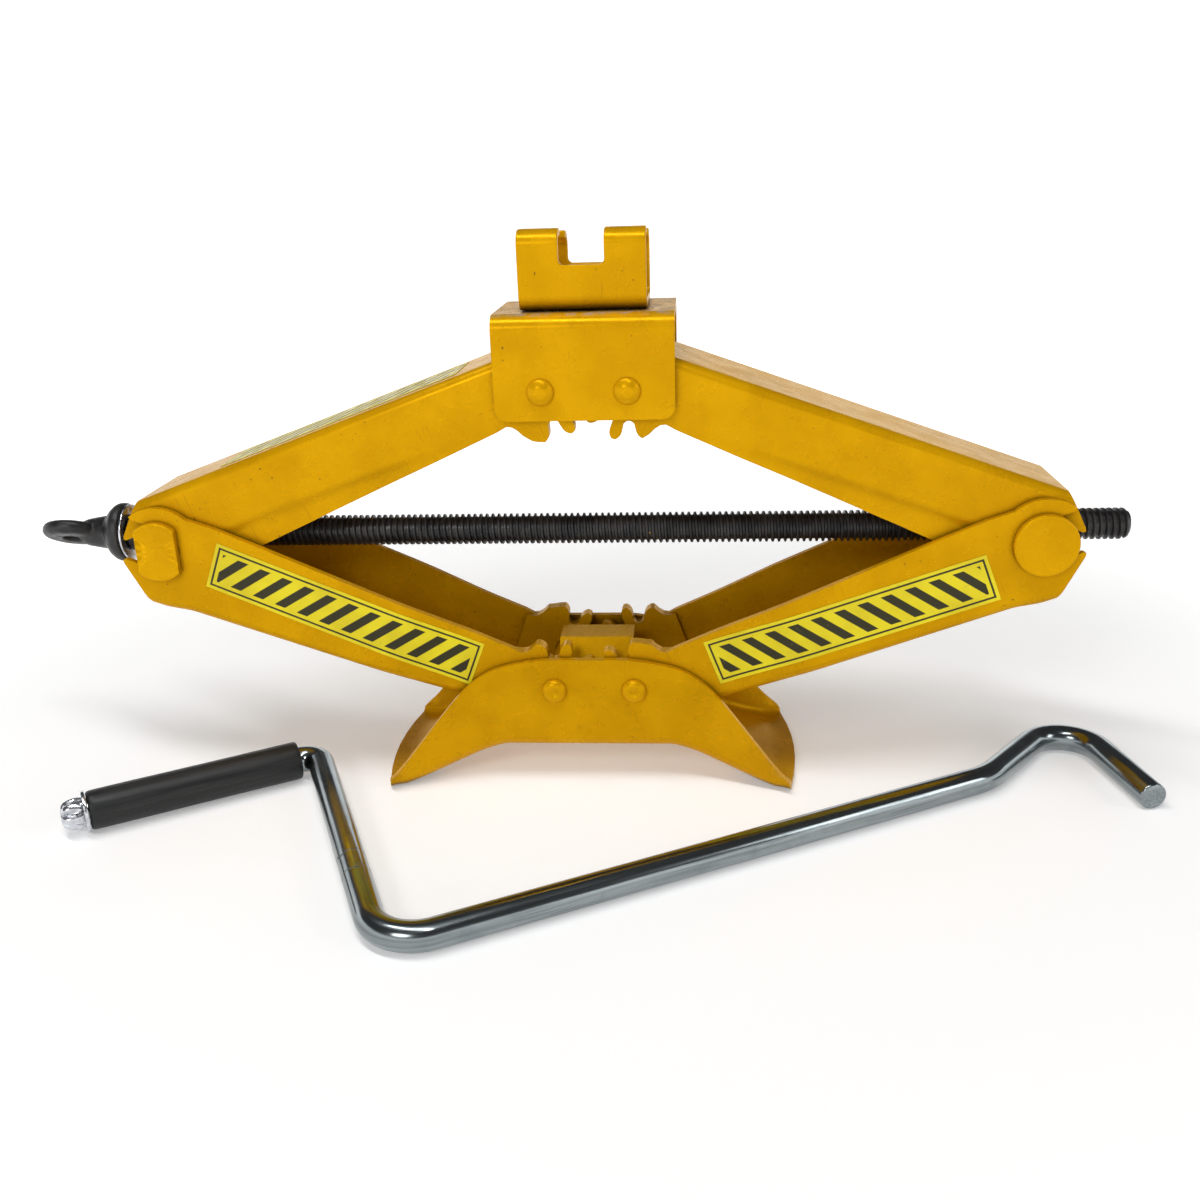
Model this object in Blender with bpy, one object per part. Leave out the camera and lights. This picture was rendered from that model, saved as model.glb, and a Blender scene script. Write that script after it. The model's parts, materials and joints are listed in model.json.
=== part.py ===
"""Scissor jack with a loose crank handle.

Two lower arms stand on a splayed foot, two upper arms carry a cap with a
notched saddle, and a long trapezoidal screw pulls the two outer pivots
together.  The arms are U channels of folded sheet whose inner ends are cut as
gear sectors, so that both sides of the jack always rise by the same angle.

Units are metres, +Z is up and the floor is Z = 0.  The origin lies on the
floor under the middle of the whole set.  X runs along the screw, and the
screw's eye points to -X.
"""

import math

import bmesh
import bpy
from mathutils import Matrix, Vector

# ---------------------------------------------------------------- dimensions
JACK_X = 0.00561             # middle of the jack in the frame of the whole set
JACK_Y = 0.05581

SHEET = 0.0028               # thickness of every folded sheet part
GAP = 0.0003                 # clearance between touching pieces

ARM_LENGTH = 0.170           # pivot to pivot
ARM_ANGLE = math.radians(21.2)
PIVOT_HALF = 0.0164          # the inner pivots stand this far from the middle
FOOT_PIVOT_Z = 0.0415        # lower pivots above the floor

GEAR_TEETH = 10              # teeth that a full circle would hold
GEAR_TIP = 0.0198
GEAR_ROOT = 0.0124
FIRST_TOOTH = math.radians(93.7)

ARM_HALF = 0.0240            # outer half width of an arm at its geared end
ARM_BEND = 0.0042            # outer radius of the fold between web and walls
SLOT_HALF = 0.0085           # slot for the trunnion's neck
HOOK_RADIUS = 0.0177

LABEL_FILM = 0.0003
LABEL_NEAR = 0.0335          # stations of a sticker's two ends along its arm
LABEL_FAR = 0.1482
LABEL_HALF_HEIGHT = 0.0098
LABEL_LEFT_MIDDLE = (-0.0021, 0.0019)
LABEL_RIGHT_MIDDLE = (-0.0014, -0.0057)

CAP_HALF_X = 0.0343
CAP_HALF_Y = 0.0273
CAP_ABOVE = 0.0285           # from the upper pivots to the cap's top face
CAP_BELOW = 0.0110
CAP_BEND = 0.0050

SADDLE_HALF_X = 0.0240
SADDLE_HALF_Y = 0.0200
SADDLE_HEIGHT = 0.0295
SADDLE_BACK_DROP = 0.0022    # the back wall is this much lower
SADDLE_LIP = 0.0100
SADDLE_BEND = 0.0062
NOTCH_HALF = 0.0085
NOTCH_DEPTH = 0.0128

FOOT_HALF_X = 0.0825         # at the wings' corners; their ends bulge out from there
FOOT_BULGE = 0.0050
FOOT_MIDDLE = -0.0032        # the foot's middle from the jack's
FOOT_WEB_Z = 0.0150          # underside of the foot between its two wings
FOOT_BEND = 0.0060

PIN_RADIUS = 0.0040
PIN_HEAD_RADIUS = 0.0052
PIN_HEAD = 0.0026

TRUNNION_NECK = 0.0081
TRUNNION_BODY = 0.0130
TRUNNION_HEAD = 0.0123
HEAD_THICKNESS = 0.0030

SCREW_RADIUS = 0.00635
SCREW_LEFT = 0.1975          # thrust face, left of the jack's middle
SCREW_RIGHT = 0.2139         # free end, right of the jack's middle
EYE_TIP = 0.2370

ROD_RADIUS = 0.0055
GRIP_RADIUS = 0.0081
HANDLE_Z = 0.0056
GRIP_Z = 0.0087
# Corners of the crank's centre line on the floor, from the jack's middle, and
# the radius that each one is bent to.
HANDLE_CORNERS = (
    ((-0.2090, -0.0770, GRIP_Z), 0.0),
    ((-0.1210, -0.0220, 0.0083), 0.0074),
    ((-0.0624, -0.1520, HANDLE_Z), 0.0175),
    ((0.1592, -0.0332, HANDLE_Z), 0.0340),
    ((0.2050, 0.0236, HANDLE_Z), 0.0155),
    ((0.2198, -0.0475, HANDLE_Z), 0.0),
)
GRIP_START = 0.0105          # from the crimped end
GRIP_LENGTH = 0.0845

CIRCLE = 32                  # sides of a large round
SMALL_CIRCLE = 20

RISE = ARM_LENGTH * math.sin(ARM_ANGLE)
REACH = ARM_LENGTH * math.cos(ARM_ANGLE)
SCREW_Z = FOOT_PIVOT_Z + RISE
CAP_PIVOT_Z = SCREW_Z + RISE
OUTER_X = PIVOT_HALF + REACH

# The lower arms widen towards the screw, so that the upper arms fold into them.
LOWER_ARM = {
    "web": (0.0176, 0.0300),
    "flare": 0.0016,
    "lip": (0.0090, 0.0530),
    "half": (ARM_HALF, 0.0268),
    "widens": (0.035, 0.075),
}
UPPER_ARM = {
    "web": (0.0165, 0.0260),
    "flare": 0.0,
    "lip": (0.0069, 0.0600),
    "half": (ARM_HALF, 0.0235),
    "widens": (0.050, 0.095),
}

PAINT = (0.72, 0.42, 0.02, 1.0)


# ------------------------------------------------------------------- helpers
def clear_scene():
    for obj in list(bpy.data.objects):
        bpy.data.objects.remove(obj, do_unlink=True)


def make_material(name, color, roughness, metallic):
    mat = bpy.data.materials.new(name)
    mat.use_nodes = True
    shader = mat.node_tree.nodes["Principled BSDF"]
    shader.inputs["Base Color"].default_value = color
    shader.inputs["Roughness"].default_value = roughness
    shader.inputs["Metallic"].default_value = metallic
    return mat


def place(obj, parent):
    """Hang an object that was built in world coordinates under its parent."""
    if parent is None:
        return
    obj.parent = parent
    obj.matrix_parent_inverse = settled_matrix(parent).inverted()


def settled_matrix(obj):
    bpy.context.view_layer.update()
    return obj.matrix_world.copy()


def add_mesh(name, bm, mat, matrix=None, parent=None):
    bmesh.ops.recalc_face_normals(bm, faces=bm.faces)
    mesh = bpy.data.meshes.new(name)
    bm.to_mesh(mesh)
    bm.free()
    mesh.shade_smooth()
    mesh.set_sharp_from_angle(angle=math.radians(32))
    obj = bpy.data.objects.new(name, mesh)
    bpy.context.collection.objects.link(obj)
    if matrix is not None:
        obj.matrix_world = matrix
    if mat is not None:
        mesh.materials.append(mat)
    place(obj, parent)
    return obj


def pivot(name, location, parent=None):
    """An empty on a joint's axis."""
    empty = bpy.data.objects.new(name, None)
    bpy.context.collection.objects.link(empty)
    empty.location = location
    place(empty, parent)
    return empty


def cut(obj, bm, matrix=None, operation="DIFFERENCE"):
    """Subtract (or intersect with) a hidden guide shape."""
    bmesh.ops.recalc_face_normals(bm, faces=bm.faces)
    mesh = bpy.data.meshes.new(obj.name + "_guide")
    bm.to_mesh(mesh)
    bm.free()
    guide = bpy.data.objects.new(obj.name + "_guide", mesh)
    bpy.context.collection.objects.link(guide)
    guide.hide_render = True
    guide.display_type = "WIRE"
    host = settled_matrix(obj)
    guide.matrix_world = host if matrix is None else matrix
    guide.parent = obj
    guide.matrix_parent_inverse = host.inverted()
    modifier = obj.modifiers.new(operation.lower(), "BOOLEAN")
    modifier.operation = operation
    modifier.solver = "EXACT"
    modifier.object = guide


def add_prism(bm, outline, y0, y1):
    """A closed outline of (x, z) points, extruded along Y."""
    near = [bm.verts.new((x, y0, z)) for x, z in outline]
    far = [bm.verts.new((x, y1, z)) for x, z in outline]
    count = len(outline)
    bm.faces.new(near)
    bm.faces.new(list(reversed(far)))
    for i in range(count):
        j = (i + 1) % count
        bm.faces.new((near[i], far[i], far[j], near[j]))


def prism(outline, y0, y1):
    bm = bmesh.new()
    add_prism(bm, outline, y0, y1)
    return bm


def add_cylinder(bm, radius, y0, y1, x=0.0, z=0.0, sides=SMALL_CIRCLE):
    add_prism(bm, arc(x, z, radius, 0, 2 * math.pi, sides)[:-1], y0, y1)


def arc(cx, cz, radius, start, end, segments):
    step = (end - start) / segments
    return [(cx + radius * math.cos(start + i * step), cz + radius * math.sin(start + i * step))
            for i in range(segments + 1)]


def loft(sections):
    """Skin closed loops that all have the same number of points."""
    bm = bmesh.new()
    loops = [[bm.verts.new(p) for p in section] for section in sections]
    count = len(loops[0])
    for a, b in zip(loops, loops[1:]):
        for i in range(count):
            j = (i + 1) % count
            bm.faces.new((a[i], a[j], b[j], b[i]))
    bm.faces.new(loops[0])
    bm.faces.new(list(reversed(loops[-1])))
    return bm


def turned(profile, sides, axis="X"):
    """Turn (along, radius) points round an axis; end points with radius 0 close it."""
    bm = bmesh.new()
    verts = []
    for along, radius in profile:
        if radius == 0.0:
            verts.append([bm.verts.new((along, 0, 0))])
            continue
        ring = arc(0, 0, radius, 0, 2 * math.pi, sides)[:-1]
        verts.append([bm.verts.new((along, y, z)) for y, z in ring])
    for a, b in zip(verts, verts[1:]):
        for i in range(sides):
            j = (i + 1) % sides
            if len(a) == 1:
                bm.faces.new((a[0], b[i], b[j]))
            elif len(b) == 1:
                bm.faces.new((a[i], b[0], a[j]))
            else:
                bm.faces.new((a[i], b[i], b[j], a[j]))
    if axis == "Y":
        bmesh.ops.rotate(bm, verts=bm.verts, matrix=Matrix.Rotation(math.pi / 2, 3, "Z"))
    if axis == "Z":
        bmesh.ops.rotate(bm, verts=bm.verts, matrix=Matrix.Rotation(-math.pi / 2, 3, "Y"))
    return bm


def ring(outer, inner, start, end, sides, axis="X"):
    """A plain bush or washer: a rectangle turned round an axis."""
    bm = bmesh.new()
    loops = []
    for along, radius in ((start, inner), (start, outer), (end, outer), (end, inner)):
        circle = arc(0, 0, radius, 0, 2 * math.pi, sides)[:-1]
        loops.append([bm.verts.new((along, y, z)) for y, z in circle])
    for k in range(4):
        a = loops[k]
        b = loops[(k + 1) % 4]
        for i in range(sides):
            j = (i + 1) % sides
            bm.faces.new((a[i], b[i], b[j], a[j]))
    if axis == "Z":
        bmesh.ops.rotate(bm, verts=bm.verts, matrix=Matrix.Rotation(-math.pi / 2, 3, "Y"))
    return bm


def ease(value, start, end):
    """0 before start, 1 after end, smooth between them."""
    t = min(max((value - start) / (end - start), 0.0), 1.0)
    return t * t * (3 - 2 * t)


def interpolate(x, table):
    """Straight interpolation in ((x, value), ...)."""
    for (x0, v0), (x1, v1) in zip(table, table[1:]):
        if x <= x1:
            return v0 + (v1 - v0) * (x - x0) / (x1 - x0)
    return table[-1][1]


def world(x, y, z):
    return Vector((JACK_X + x, JACK_Y + y, z))


# ----------------------------------------------------------------- the arms
# An arm is built in its own frame: X runs from the geared end's pivot (X = 0)
# to the screw's pivot (X = ARM_LENGTH), Z points to the open side of the U.
def gear_angle(point_angle, radius):
    """Angles run from the arm's tail (-X) towards its open side (+Z)."""
    return (-radius * math.cos(point_angle), radius * math.sin(point_angle))


def web_depth(arm, x):
    return arm["web"][0] + arm["web"][1] * x + arm["flare"] * ease(x, 0.150, 0.164)


def lip_height(arm, x):
    return arm["lip"][0] + arm["lip"][1] * x


def half_width(arm, x):
    start, end = arm["half"]
    return start + (end - start) * ease(x, *arm["widens"])


def gear_blank():
    """Rim of the gear sector, from the web's side round to the open side."""
    return [gear_angle(math.radians(a), GEAR_TIP) for a in range(-36, 129, 4)]


def side_outline(arm):
    """Side view of an arm: gear blank, open edge, hook, slot and end corner."""
    tail = web_depth(arm, 0) - SHEET - 0.0006
    outline = [(0.0, -tail), (-0.0090, -tail)] + gear_blank()
    outline.append((0.0240, lip_height(arm, 0.0240)))
    hook = arc(ARM_LENGTH, 0, HOOK_RADIUS, math.radians(112), math.radians(40), 9)
    outline.append((hook[0][0] - 0.012, lip_height(arm, ARM_LENGTH - 0.018) - 0.0002))
    outline += hook
    outline += [(ARM_LENGTH + 0.0150, 0.0094), (ARM_LENGTH + 0.0135, SLOT_HALF)]
    outline += arc(ARM_LENGTH, 0, SLOT_HALF, math.radians(90), math.radians(270), 12)
    outline += [(ARM_LENGTH + 0.0124, -SLOT_HALF), (ARM_LENGTH + 0.0132, -0.0092),
                (ARM_LENGTH + 0.0126, -0.0104), (ARM_LENGTH - 0.0016, -0.0234),
                (ARM_LENGTH - 0.0040, -0.0246), (ARM_LENGTH - 0.0070, -0.0262)]
    outline.append((0.0, -web_depth(arm, 0) - 0.0020))
    return outline


def channel_section(arm, x):
    """The U of the folded sheet at one station, as one closed loop."""
    half = half_width(arm, x)
    depth = web_depth(arm, x)
    top = 0.030
    loop = []
    for wall, bottom, bend in ((half, depth, ARM_BEND), (half - SHEET, depth - SHEET, ARM_BEND - SHEET)):
        right = arc(wall - bend, -bottom + bend, bend, 0, -math.pi / 2, 4)
        side = [(wall, top)] + right + [(-y, z) for y, z in reversed(right)] + [(-wall, top)]
        loop += side if bottom == depth else list(reversed(side))
    return [(x, y, z) for y, z in loop]


def tooth_space(bm, angle, y0, y1):
    """One gap between two teeth, centred on an angle of the gear sector."""
    half = ((GEAR_ROOT, 0.0012), (0.0132, 0.0024), (0.0164, 0.0036), (GEAR_TIP, 0.0055), (0.0250, 0.0082))
    outline = [(radius, side) for radius, side in half] + [(radius, -side) for radius, side in reversed(half)]
    turn = Matrix.Rotation(math.pi - angle, 2)
    outline = [tuple(turn @ Vector(point)) for point in outline]
    add_prism(bm, outline, y0, y1)


def gear_cutter(sides, reach):
    """Tooth spaces and the pivot's hole; the two walls stand half a tooth apart."""
    pitch = 2 * math.pi / GEAR_TEETH
    bm = bmesh.new()
    for side in sides:
        first = FIRST_TOOTH + (pitch / 2 if side > 0 else 0.0)
        y0, y1 = sorted((side * 0.010, side * reach))
        for k in range(4):
            tooth_space(bm, first - k * pitch, y0, y1)
    y0 = min(min(sides), 0.0) * reach
    y1 = max(max(sides), 0.0) * reach
    add_cylinder(bm, PIN_RADIUS + GAP, y0, y1)
    return bm


def arm_matrix(side, upper, at_screw):
    """The arm's frame in the world: side is -1 left or 1 right."""
    up = -1 if upper else 1
    along = Vector((side * math.cos(ARM_ANGLE), 0, up * math.sin(ARM_ANGLE)))
    opening = Vector((-side * math.sin(ARM_ANGLE), 0, up * math.cos(ARM_ANGLE)))
    across = opening.cross(along)
    origin = world(side * PIVOT_HALF, 0, CAP_PIVOT_Z if upper else FOOT_PIVOT_Z)
    if at_screw:
        origin = origin + along * ARM_LENGTH
    matrix = Matrix((along, across, opening)).transposed().to_4x4()
    matrix.translation = origin
    return matrix


def shift_mesh(bm, dx):
    bmesh.ops.translate(bm, verts=bm.verts, vec=(dx, 0, 0))
    return bm


def make_arm(name, side, upper, mat, parent):
    arm = UPPER_ARM if upper else LOWER_ARM
    start, end = arm["widens"]
    stations = [-0.030, start] + [start + (end - start) * t for t in (0.25, 0.5, 0.75, 1.0)]
    stations += [0.150, 0.154, 0.157, 0.160, 0.164, 0.200]
    dx = -ARM_LENGTH if upper else 0.0
    matrix = arm_matrix(side, upper, at_screw=upper)
    body = shift_mesh(loft([channel_section(arm, x) for x in stations]), dx)
    obj = add_mesh(name, body, mat, matrix, parent)
    cut(obj, shift_mesh(prism(side_outline(arm), -0.040, 0.040), dx), operation="INTERSECT")
    cut(obj, shift_mesh(gear_cutter((-1, 1), 0.040), dx))
    return obj


def make_doubler(name, side, upper, face, mat, parent):
    """Toothed plate inside one wall of an arm; face is the side in the arm's frame."""
    arm = UPPER_ARM if upper else LOWER_ARM
    outer = ARM_HALF - SHEET - GAP
    y0, y1 = sorted((face * outer, face * (outer - SHEET)))
    outline = gear_blank()
    outline += [(0.0205, lip_height(arm, 0.0205) + 0.0006), (0.0220, lip_height(arm, 0.0220) - 0.0015),
                (0.0205, -0.0118), (-0.0080, -0.0124)]
    dx = -ARM_LENGTH if upper else 0.0
    matrix = arm_matrix(side, upper, at_screw=upper)
    obj = add_mesh(name, shift_mesh(prism(outline, y0, y1), dx), mat, matrix, parent)
    cut(obj, shift_mesh(gear_cutter((face,), 0.040), dx))
    return obj


def make_label(name, side, upper, mat, parent):
    """Thin sticker: on the viewer's wall of a lower arm, or on an upper arm's web."""
    matrix = arm_matrix(side, upper, at_screw=upper)
    if upper:
        bm = shift_mesh(prism(label_on_web(), -0.0150, 0.0150), -ARM_LENGTH)
    else:
        bm = loft([label_on_wall(x, side) for x in (LABEL_NEAR, 0.045, 0.055, 0.065, 0.075, LABEL_FAR)])
    return add_mesh(name, bm, mat, matrix, parent)


def label_on_wall(x, side):
    """Section of the sticker that follows the widening wall of a lower arm."""
    t = (x - LABEL_NEAR) / (LABEL_FAR - LABEL_NEAR)
    middle = LABEL_LEFT_MIDDLE if side < 0 else LABEL_RIGHT_MIDDLE
    centre = middle[0] + (middle[1] - middle[0]) * t
    inner = -side * (half_width(LOWER_ARM, x) + GAP)
    outer = inner - side * LABEL_FILM
    low = centre - LABEL_HALF_HEIGHT
    high = centre + LABEL_HALF_HEIGHT
    return [(x, inner, low), (x, outer, low), (x, outer, high), (x, inner, high)]


def label_on_web():
    """Side view of the strip that lies on the outside of an upper arm's web."""
    near, far = 0.030, 0.135
    inner = [(x, -web_depth(UPPER_ARM, x) - GAP) for x in (near, far)]
    outer = [(x, z - LABEL_FILM) for x, z in reversed(inner)]
    return inner + outer


# ------------------------------------------------------------- foot and cap
FOOT_WEB = ((0.0, FOOT_WEB_Z), (0.034, FOOT_WEB_Z), (0.038, 0.0143), (0.046, 0.0115), (0.060, 0.0060),
            (0.0765, 0.0), (FOOT_HALF_X, 0.0))
FOOT_RIM = ((0.0, 0.0550), (0.018, 0.0548), (0.030, 0.0528), (0.040, 0.0497), (0.049, 0.0437),
            (0.055, 0.0377), (0.0615, 0.0300), (0.0705, 0.0187), (0.0765, 0.0105), (FOOT_HALF_X, 0.0036))
FOOT_SPLAY = ((0.0, 0.0), (0.044, 0.0), (0.053, 0.0018), (0.062, 0.0045), (0.0715, 0.0080),
              (0.0795, 0.0108), (FOOT_HALF_X, 0.0118))


def foot_section(x):
    """Section across the foot, as one closed loop: outside, then inside."""
    along = abs(x)
    floor = interpolate(along, FOOT_WEB)
    rim = interpolate(along, FOOT_RIM)
    top_half = CAP_HALF_Y + interpolate(along, FOOT_SPLAY)
    low_half = CAP_HALF_Y + 0.85 * interpolate(along, FOOT_SPLAY)
    bend = min(FOOT_BEND, rim - floor - 0.0004)
    bulge = FOOT_BULGE * ease(along, 0.060, FOOT_HALF_X)
    loop = []
    for thick in (0.0, SHEET):
        radius = max(bend - thick, 0.0004)
        right = arc(low_half - bend, floor + bend, radius, 0, -math.pi / 2, 4)
        side = [(top_half - thick, rim)] + right + [(0.0, floor + thick)]
        side += [(-y, z) for y, z in reversed(right)] + [(-top_half + thick, rim)]
        loop += side if thick == 0.0 else list(reversed(side))
    return [(x + math.copysign(bulge * (1 - (y / top_half) ** 2), x), y, z) for y, z in loop]


def make_foot(mat, parent):
    half = (0.010, 0.018, 0.030, 0.034, 0.038, 0.043, 0.049, 0.055, 0.0615, 0.0705, 0.0765, FOOT_HALF_X)
    stations = [-x for x in reversed(half)] + list(half)
    obj = add_mesh("foot", loft([foot_section(x) for x in stations]), mat,
                   Matrix.Translation(world(FOOT_MIDDLE, 0, 0)), parent)
    holes = bmesh.new()
    for side in (-1, 1):
        add_cylinder(holes, PIN_RADIUS + GAP, -0.040, 0.040, side * PIVOT_HALF - FOOT_MIDDLE, FOOT_PIVOT_Z)
    cut(obj, holes)
    return obj


def make_spacer(mat, parent):
    """Folded block that stands on the foot's web between the four arm walls."""
    half_x = 0.0155
    base = FOOT_WEB_Z + SHEET + GAP
    top = 0.0572
    outer = [(-0.0172, base), (-0.0172, 0.040), (-0.0070, top), (0.0070, top), (0.0172, 0.040), (0.0172, base)]
    inner = [(0.0144, base), (0.0144, 0.0389), (0.0059, top - SHEET), (-0.0059, top - SHEET),
             (-0.0144, 0.0389), (-0.0144, base)]
    sections = [[(x, y, z) for y, z in outer + inner] for x in (-half_x, half_x)]
    obj = add_mesh("spacer_block", loft(sections), mat, Matrix.Translation(world(0, 0, 0)), parent)
    holes = bmesh.new()
    for side in (-1, 1):
        add_cylinder(holes, PIN_RADIUS + GAP, -0.030, 0.030, side * PIVOT_HALF, FOOT_PIVOT_Z)
    cut(obj, holes)


def make_pin(name, side, height, mat, parent):
    """Riveted pivot pin with a domed head on each side."""
    half = CAP_HALF_Y + GAP
    dome = [(half + PIN_HEAD, 0.0), (half + PIN_HEAD, 0.0026), (half + 0.6 * PIN_HEAD, 0.0045),
            (half, PIN_HEAD_RADIUS)]
    profile = dome + [(half, PIN_RADIUS)]
    profile += [(-along, radius) for along, radius in reversed(profile)]
    matrix = Matrix.Translation(world(side * PIVOT_HALF, 0, height))
    add_mesh(name, turned(profile, SMALL_CIRCLE, "Y"), mat, matrix, parent)


def make_cap(mat, parent):
    half = CAP_HALF_Y
    top = CAP_ABOVE
    loop = []
    for thick in (0.0, SHEET):
        bend = CAP_BEND - thick
        right = arc(half - CAP_BEND, top - CAP_BEND, bend, 0, math.pi / 2, 5)
        side = [(half - thick, -CAP_BELOW)] + right
        side += [(-y, z) for y, z in reversed(side)]
        loop += side if thick == 0.0 else list(reversed(side))
    body = loft([[(x, y, z) for y, z in loop] for x in (-CAP_HALF_X, CAP_HALF_X)])
    obj = add_mesh("cap", body, mat, Matrix.Translation(world(0, 0, CAP_PIVOT_Z)), parent)
    corner = 0.0050
    outline = [(CAP_HALF_X + 0.001, top + 0.002), (-CAP_HALF_X - 0.001, top + 0.002)]
    outline += [(-CAP_HALF_X - 0.001, 0.0)]
    outline += arc(-CAP_HALF_X + corner, -CAP_BELOW + corner, corner, math.pi, 1.5 * math.pi, 5)
    outline += arc(CAP_HALF_X - corner, -CAP_BELOW + corner, corner, 1.5 * math.pi, 2 * math.pi, 5)
    outline += [(CAP_HALF_X + 0.001, 0.0)]
    cut(obj, prism(outline, -0.040, 0.040), operation="INTERSECT")
    holes = bmesh.new()
    for side in (-1, 1):
        add_cylinder(holes, PIN_RADIUS + GAP, -0.040, 0.040, side * PIVOT_HALF, 0.0)
    cut(obj, holes)
    rivet_hole = turned(((-0.010, 0.0), (-0.010, 0.0043), (0.010, 0.0043), (0.010, 0.0)), SMALL_CIRCLE, "Z")
    cut(obj, rivet_hole, Matrix.Translation(world(0, 0, CAP_PIVOT_Z + CAP_ABOVE)))


# -------------------------------------------------------------------- saddle
SADDLE_Z = CAP_PIVOT_Z + CAP_ABOVE + GAP


def make_saddle(mat, parent):
    """C channel with inturned upper edges and a notch through both walls."""
    half = SADDLE_HALF_Y
    loop = []
    for thick in (0.0, SHEET):
        bend = SADDLE_BEND - thick
        walls = []
        for top in (SADDLE_HEIGHT, SADDLE_HEIGHT - SADDLE_BACK_DROP):
            low = arc(half - SADDLE_BEND, SADDLE_BEND, bend, -math.pi / 2, 0, 5)
            high = arc(half - SADDLE_BEND, top - SADDLE_BEND, bend, 0, math.pi / 2, 5)
            walls.append(low + high + [(half - SADDLE_LIP, top - thick)])
        front, back = walls
        contour = [(-y, z) for y, z in reversed(front)] + back
        loop += contour if thick == 0.0 else list(reversed(contour))
    body = loft([[(x, y, z) for y, z in loop] for x in (-SADDLE_HALF_X, SADDLE_HALF_X)])
    matrix = Matrix.Translation(world(0, 0, SADDLE_Z))
    obj = add_mesh("saddle", body, mat, matrix, parent)
    corner = 0.0020
    for low, y0, y1 in ((SADDLE_HEIGHT - NOTCH_DEPTH, -0.040, 0.0),
                        (SADDLE_HEIGHT - NOTCH_DEPTH - SADDLE_BACK_DROP, 0.0, 0.040)):
        notch = [(NOTCH_HALF, 0.040), (-NOTCH_HALF, 0.040)]
        notch += arc(-NOTCH_HALF + corner, low + corner, corner, math.pi, 1.5 * math.pi, 3)
        notch += arc(NOTCH_HALF - corner, low + corner, corner, 1.5 * math.pi, 2 * math.pi, 3)
        cut(obj, prism(notch, y0, y1))
    hole = turned(((-0.005, 0.0), (-0.005, 0.0043), (0.005, 0.0043), (0.005, 0.0)), SMALL_CIRCLE, "Z")
    cut(obj, hole, matrix)


def make_saddle_rivet(mat, parent):
    """Short rivet that the saddle turns on: domed above, flat below the cap."""
    above = SHEET + GAP
    below = -SHEET - 2 * GAP
    profile = [(above + 0.0024, 0.0), (above + 0.0018, 0.0036), (above, 0.0072), (above, 0.0040),
               (below, 0.0040), (below, 0.0070), (below - 0.0018, 0.0064), (below - 0.0018, 0.0)]
    matrix = Matrix.Translation(world(0, 0, SADDLE_Z))
    add_mesh("saddle_rivet", turned(profile, SMALL_CIRCLE, "Z"), mat, matrix, parent)


# --------------------------------------------------------- trunnions, screw
def make_trunnion(name, side, flats, hole, mat, parent):
    """Cross barrel in the outer pivots, with a head on each side and the screw's hole."""
    inner = UPPER_ARM["half"][1] - SHEET - 0.0004
    outer = LOWER_ARM["half"][1] + GAP
    profile = [(outer + HEAD_THICKNESS, 0.0), (outer + HEAD_THICKNESS, TRUNNION_HEAD - 0.0008),
               (outer + HEAD_THICKNESS - 0.0008, TRUNNION_HEAD), (outer, TRUNNION_HEAD),
               (outer, TRUNNION_NECK), (inner, TRUNNION_NECK), (inner, TRUNNION_BODY)]
    profile += [(-along, radius) for along, radius in reversed(profile)]
    matrix = Matrix.Translation(world(side * OUTER_X, 0, SCREW_Z))
    obj = add_mesh(name, turned(profile, CIRCLE, "Y"), mat, matrix, parent)
    bore = turned(((-0.020, 0.0), (-0.020, hole), (0.020, hole), (0.020, 0.0)), SMALL_CIRCLE)
    cut(obj, bore)
    if flats:
        slabs = bmesh.new()
        for way in (-1, 1):
            for face in (-1, 1):
                y0, y1 = sorted((face * (outer - 0.0001), face * 0.040))
                x0, x1 = sorted((way * 0.0083, way * 0.0200))
                add_prism(slabs, ((x0, -0.020), (x1, -0.020), (x1, 0.020), (x0, 0.020)), y0, y1)
        cut(obj, slabs, matrix)


def make_screw(mat, parent):
    """Trapezoidal screw: plain shank in the left trunnion, chamfered free end."""
    left = -SCREW_LEFT + GAP
    profile = [(left, 0.0), (left, 0.0058), (-OUTER_X + 0.0140, 0.0058), (-OUTER_X + 0.0150, SCREW_RADIUS),
               (SCREW_RIGHT - 0.0030, SCREW_RADIUS), (SCREW_RIGHT - 0.0008, 0.0050), (SCREW_RIGHT, 0.0034),
               (SCREW_RIGHT, 0.0)]
    add_mesh("screw", turned(profile, SMALL_CIRCLE), mat, Matrix.Translation(world(0, 0, SCREW_Z)), parent)


def make_thrust_parts(steel, black, parent):
    """Washer and bearing sleeve between the eye's collar and the left trunnion."""
    matrix = Matrix.Translation(world(0, 0, SCREW_Z))
    sleeve_end = -OUTER_X - TRUNNION_BODY - 0.0002
    washer = ring(0.0118, 0.0063, -SCREW_LEFT - 0.0013, -SCREW_LEFT - GAP, CIRCLE)
    add_mesh("thrust_washer", washer, steel, matrix, parent)
    sleeve = ring(0.0078, 0.0062, -SCREW_LEFT + GAP, sleeve_end, CIRCLE)
    add_mesh("thrust_bearing", sleeve, black, matrix, parent)


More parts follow.
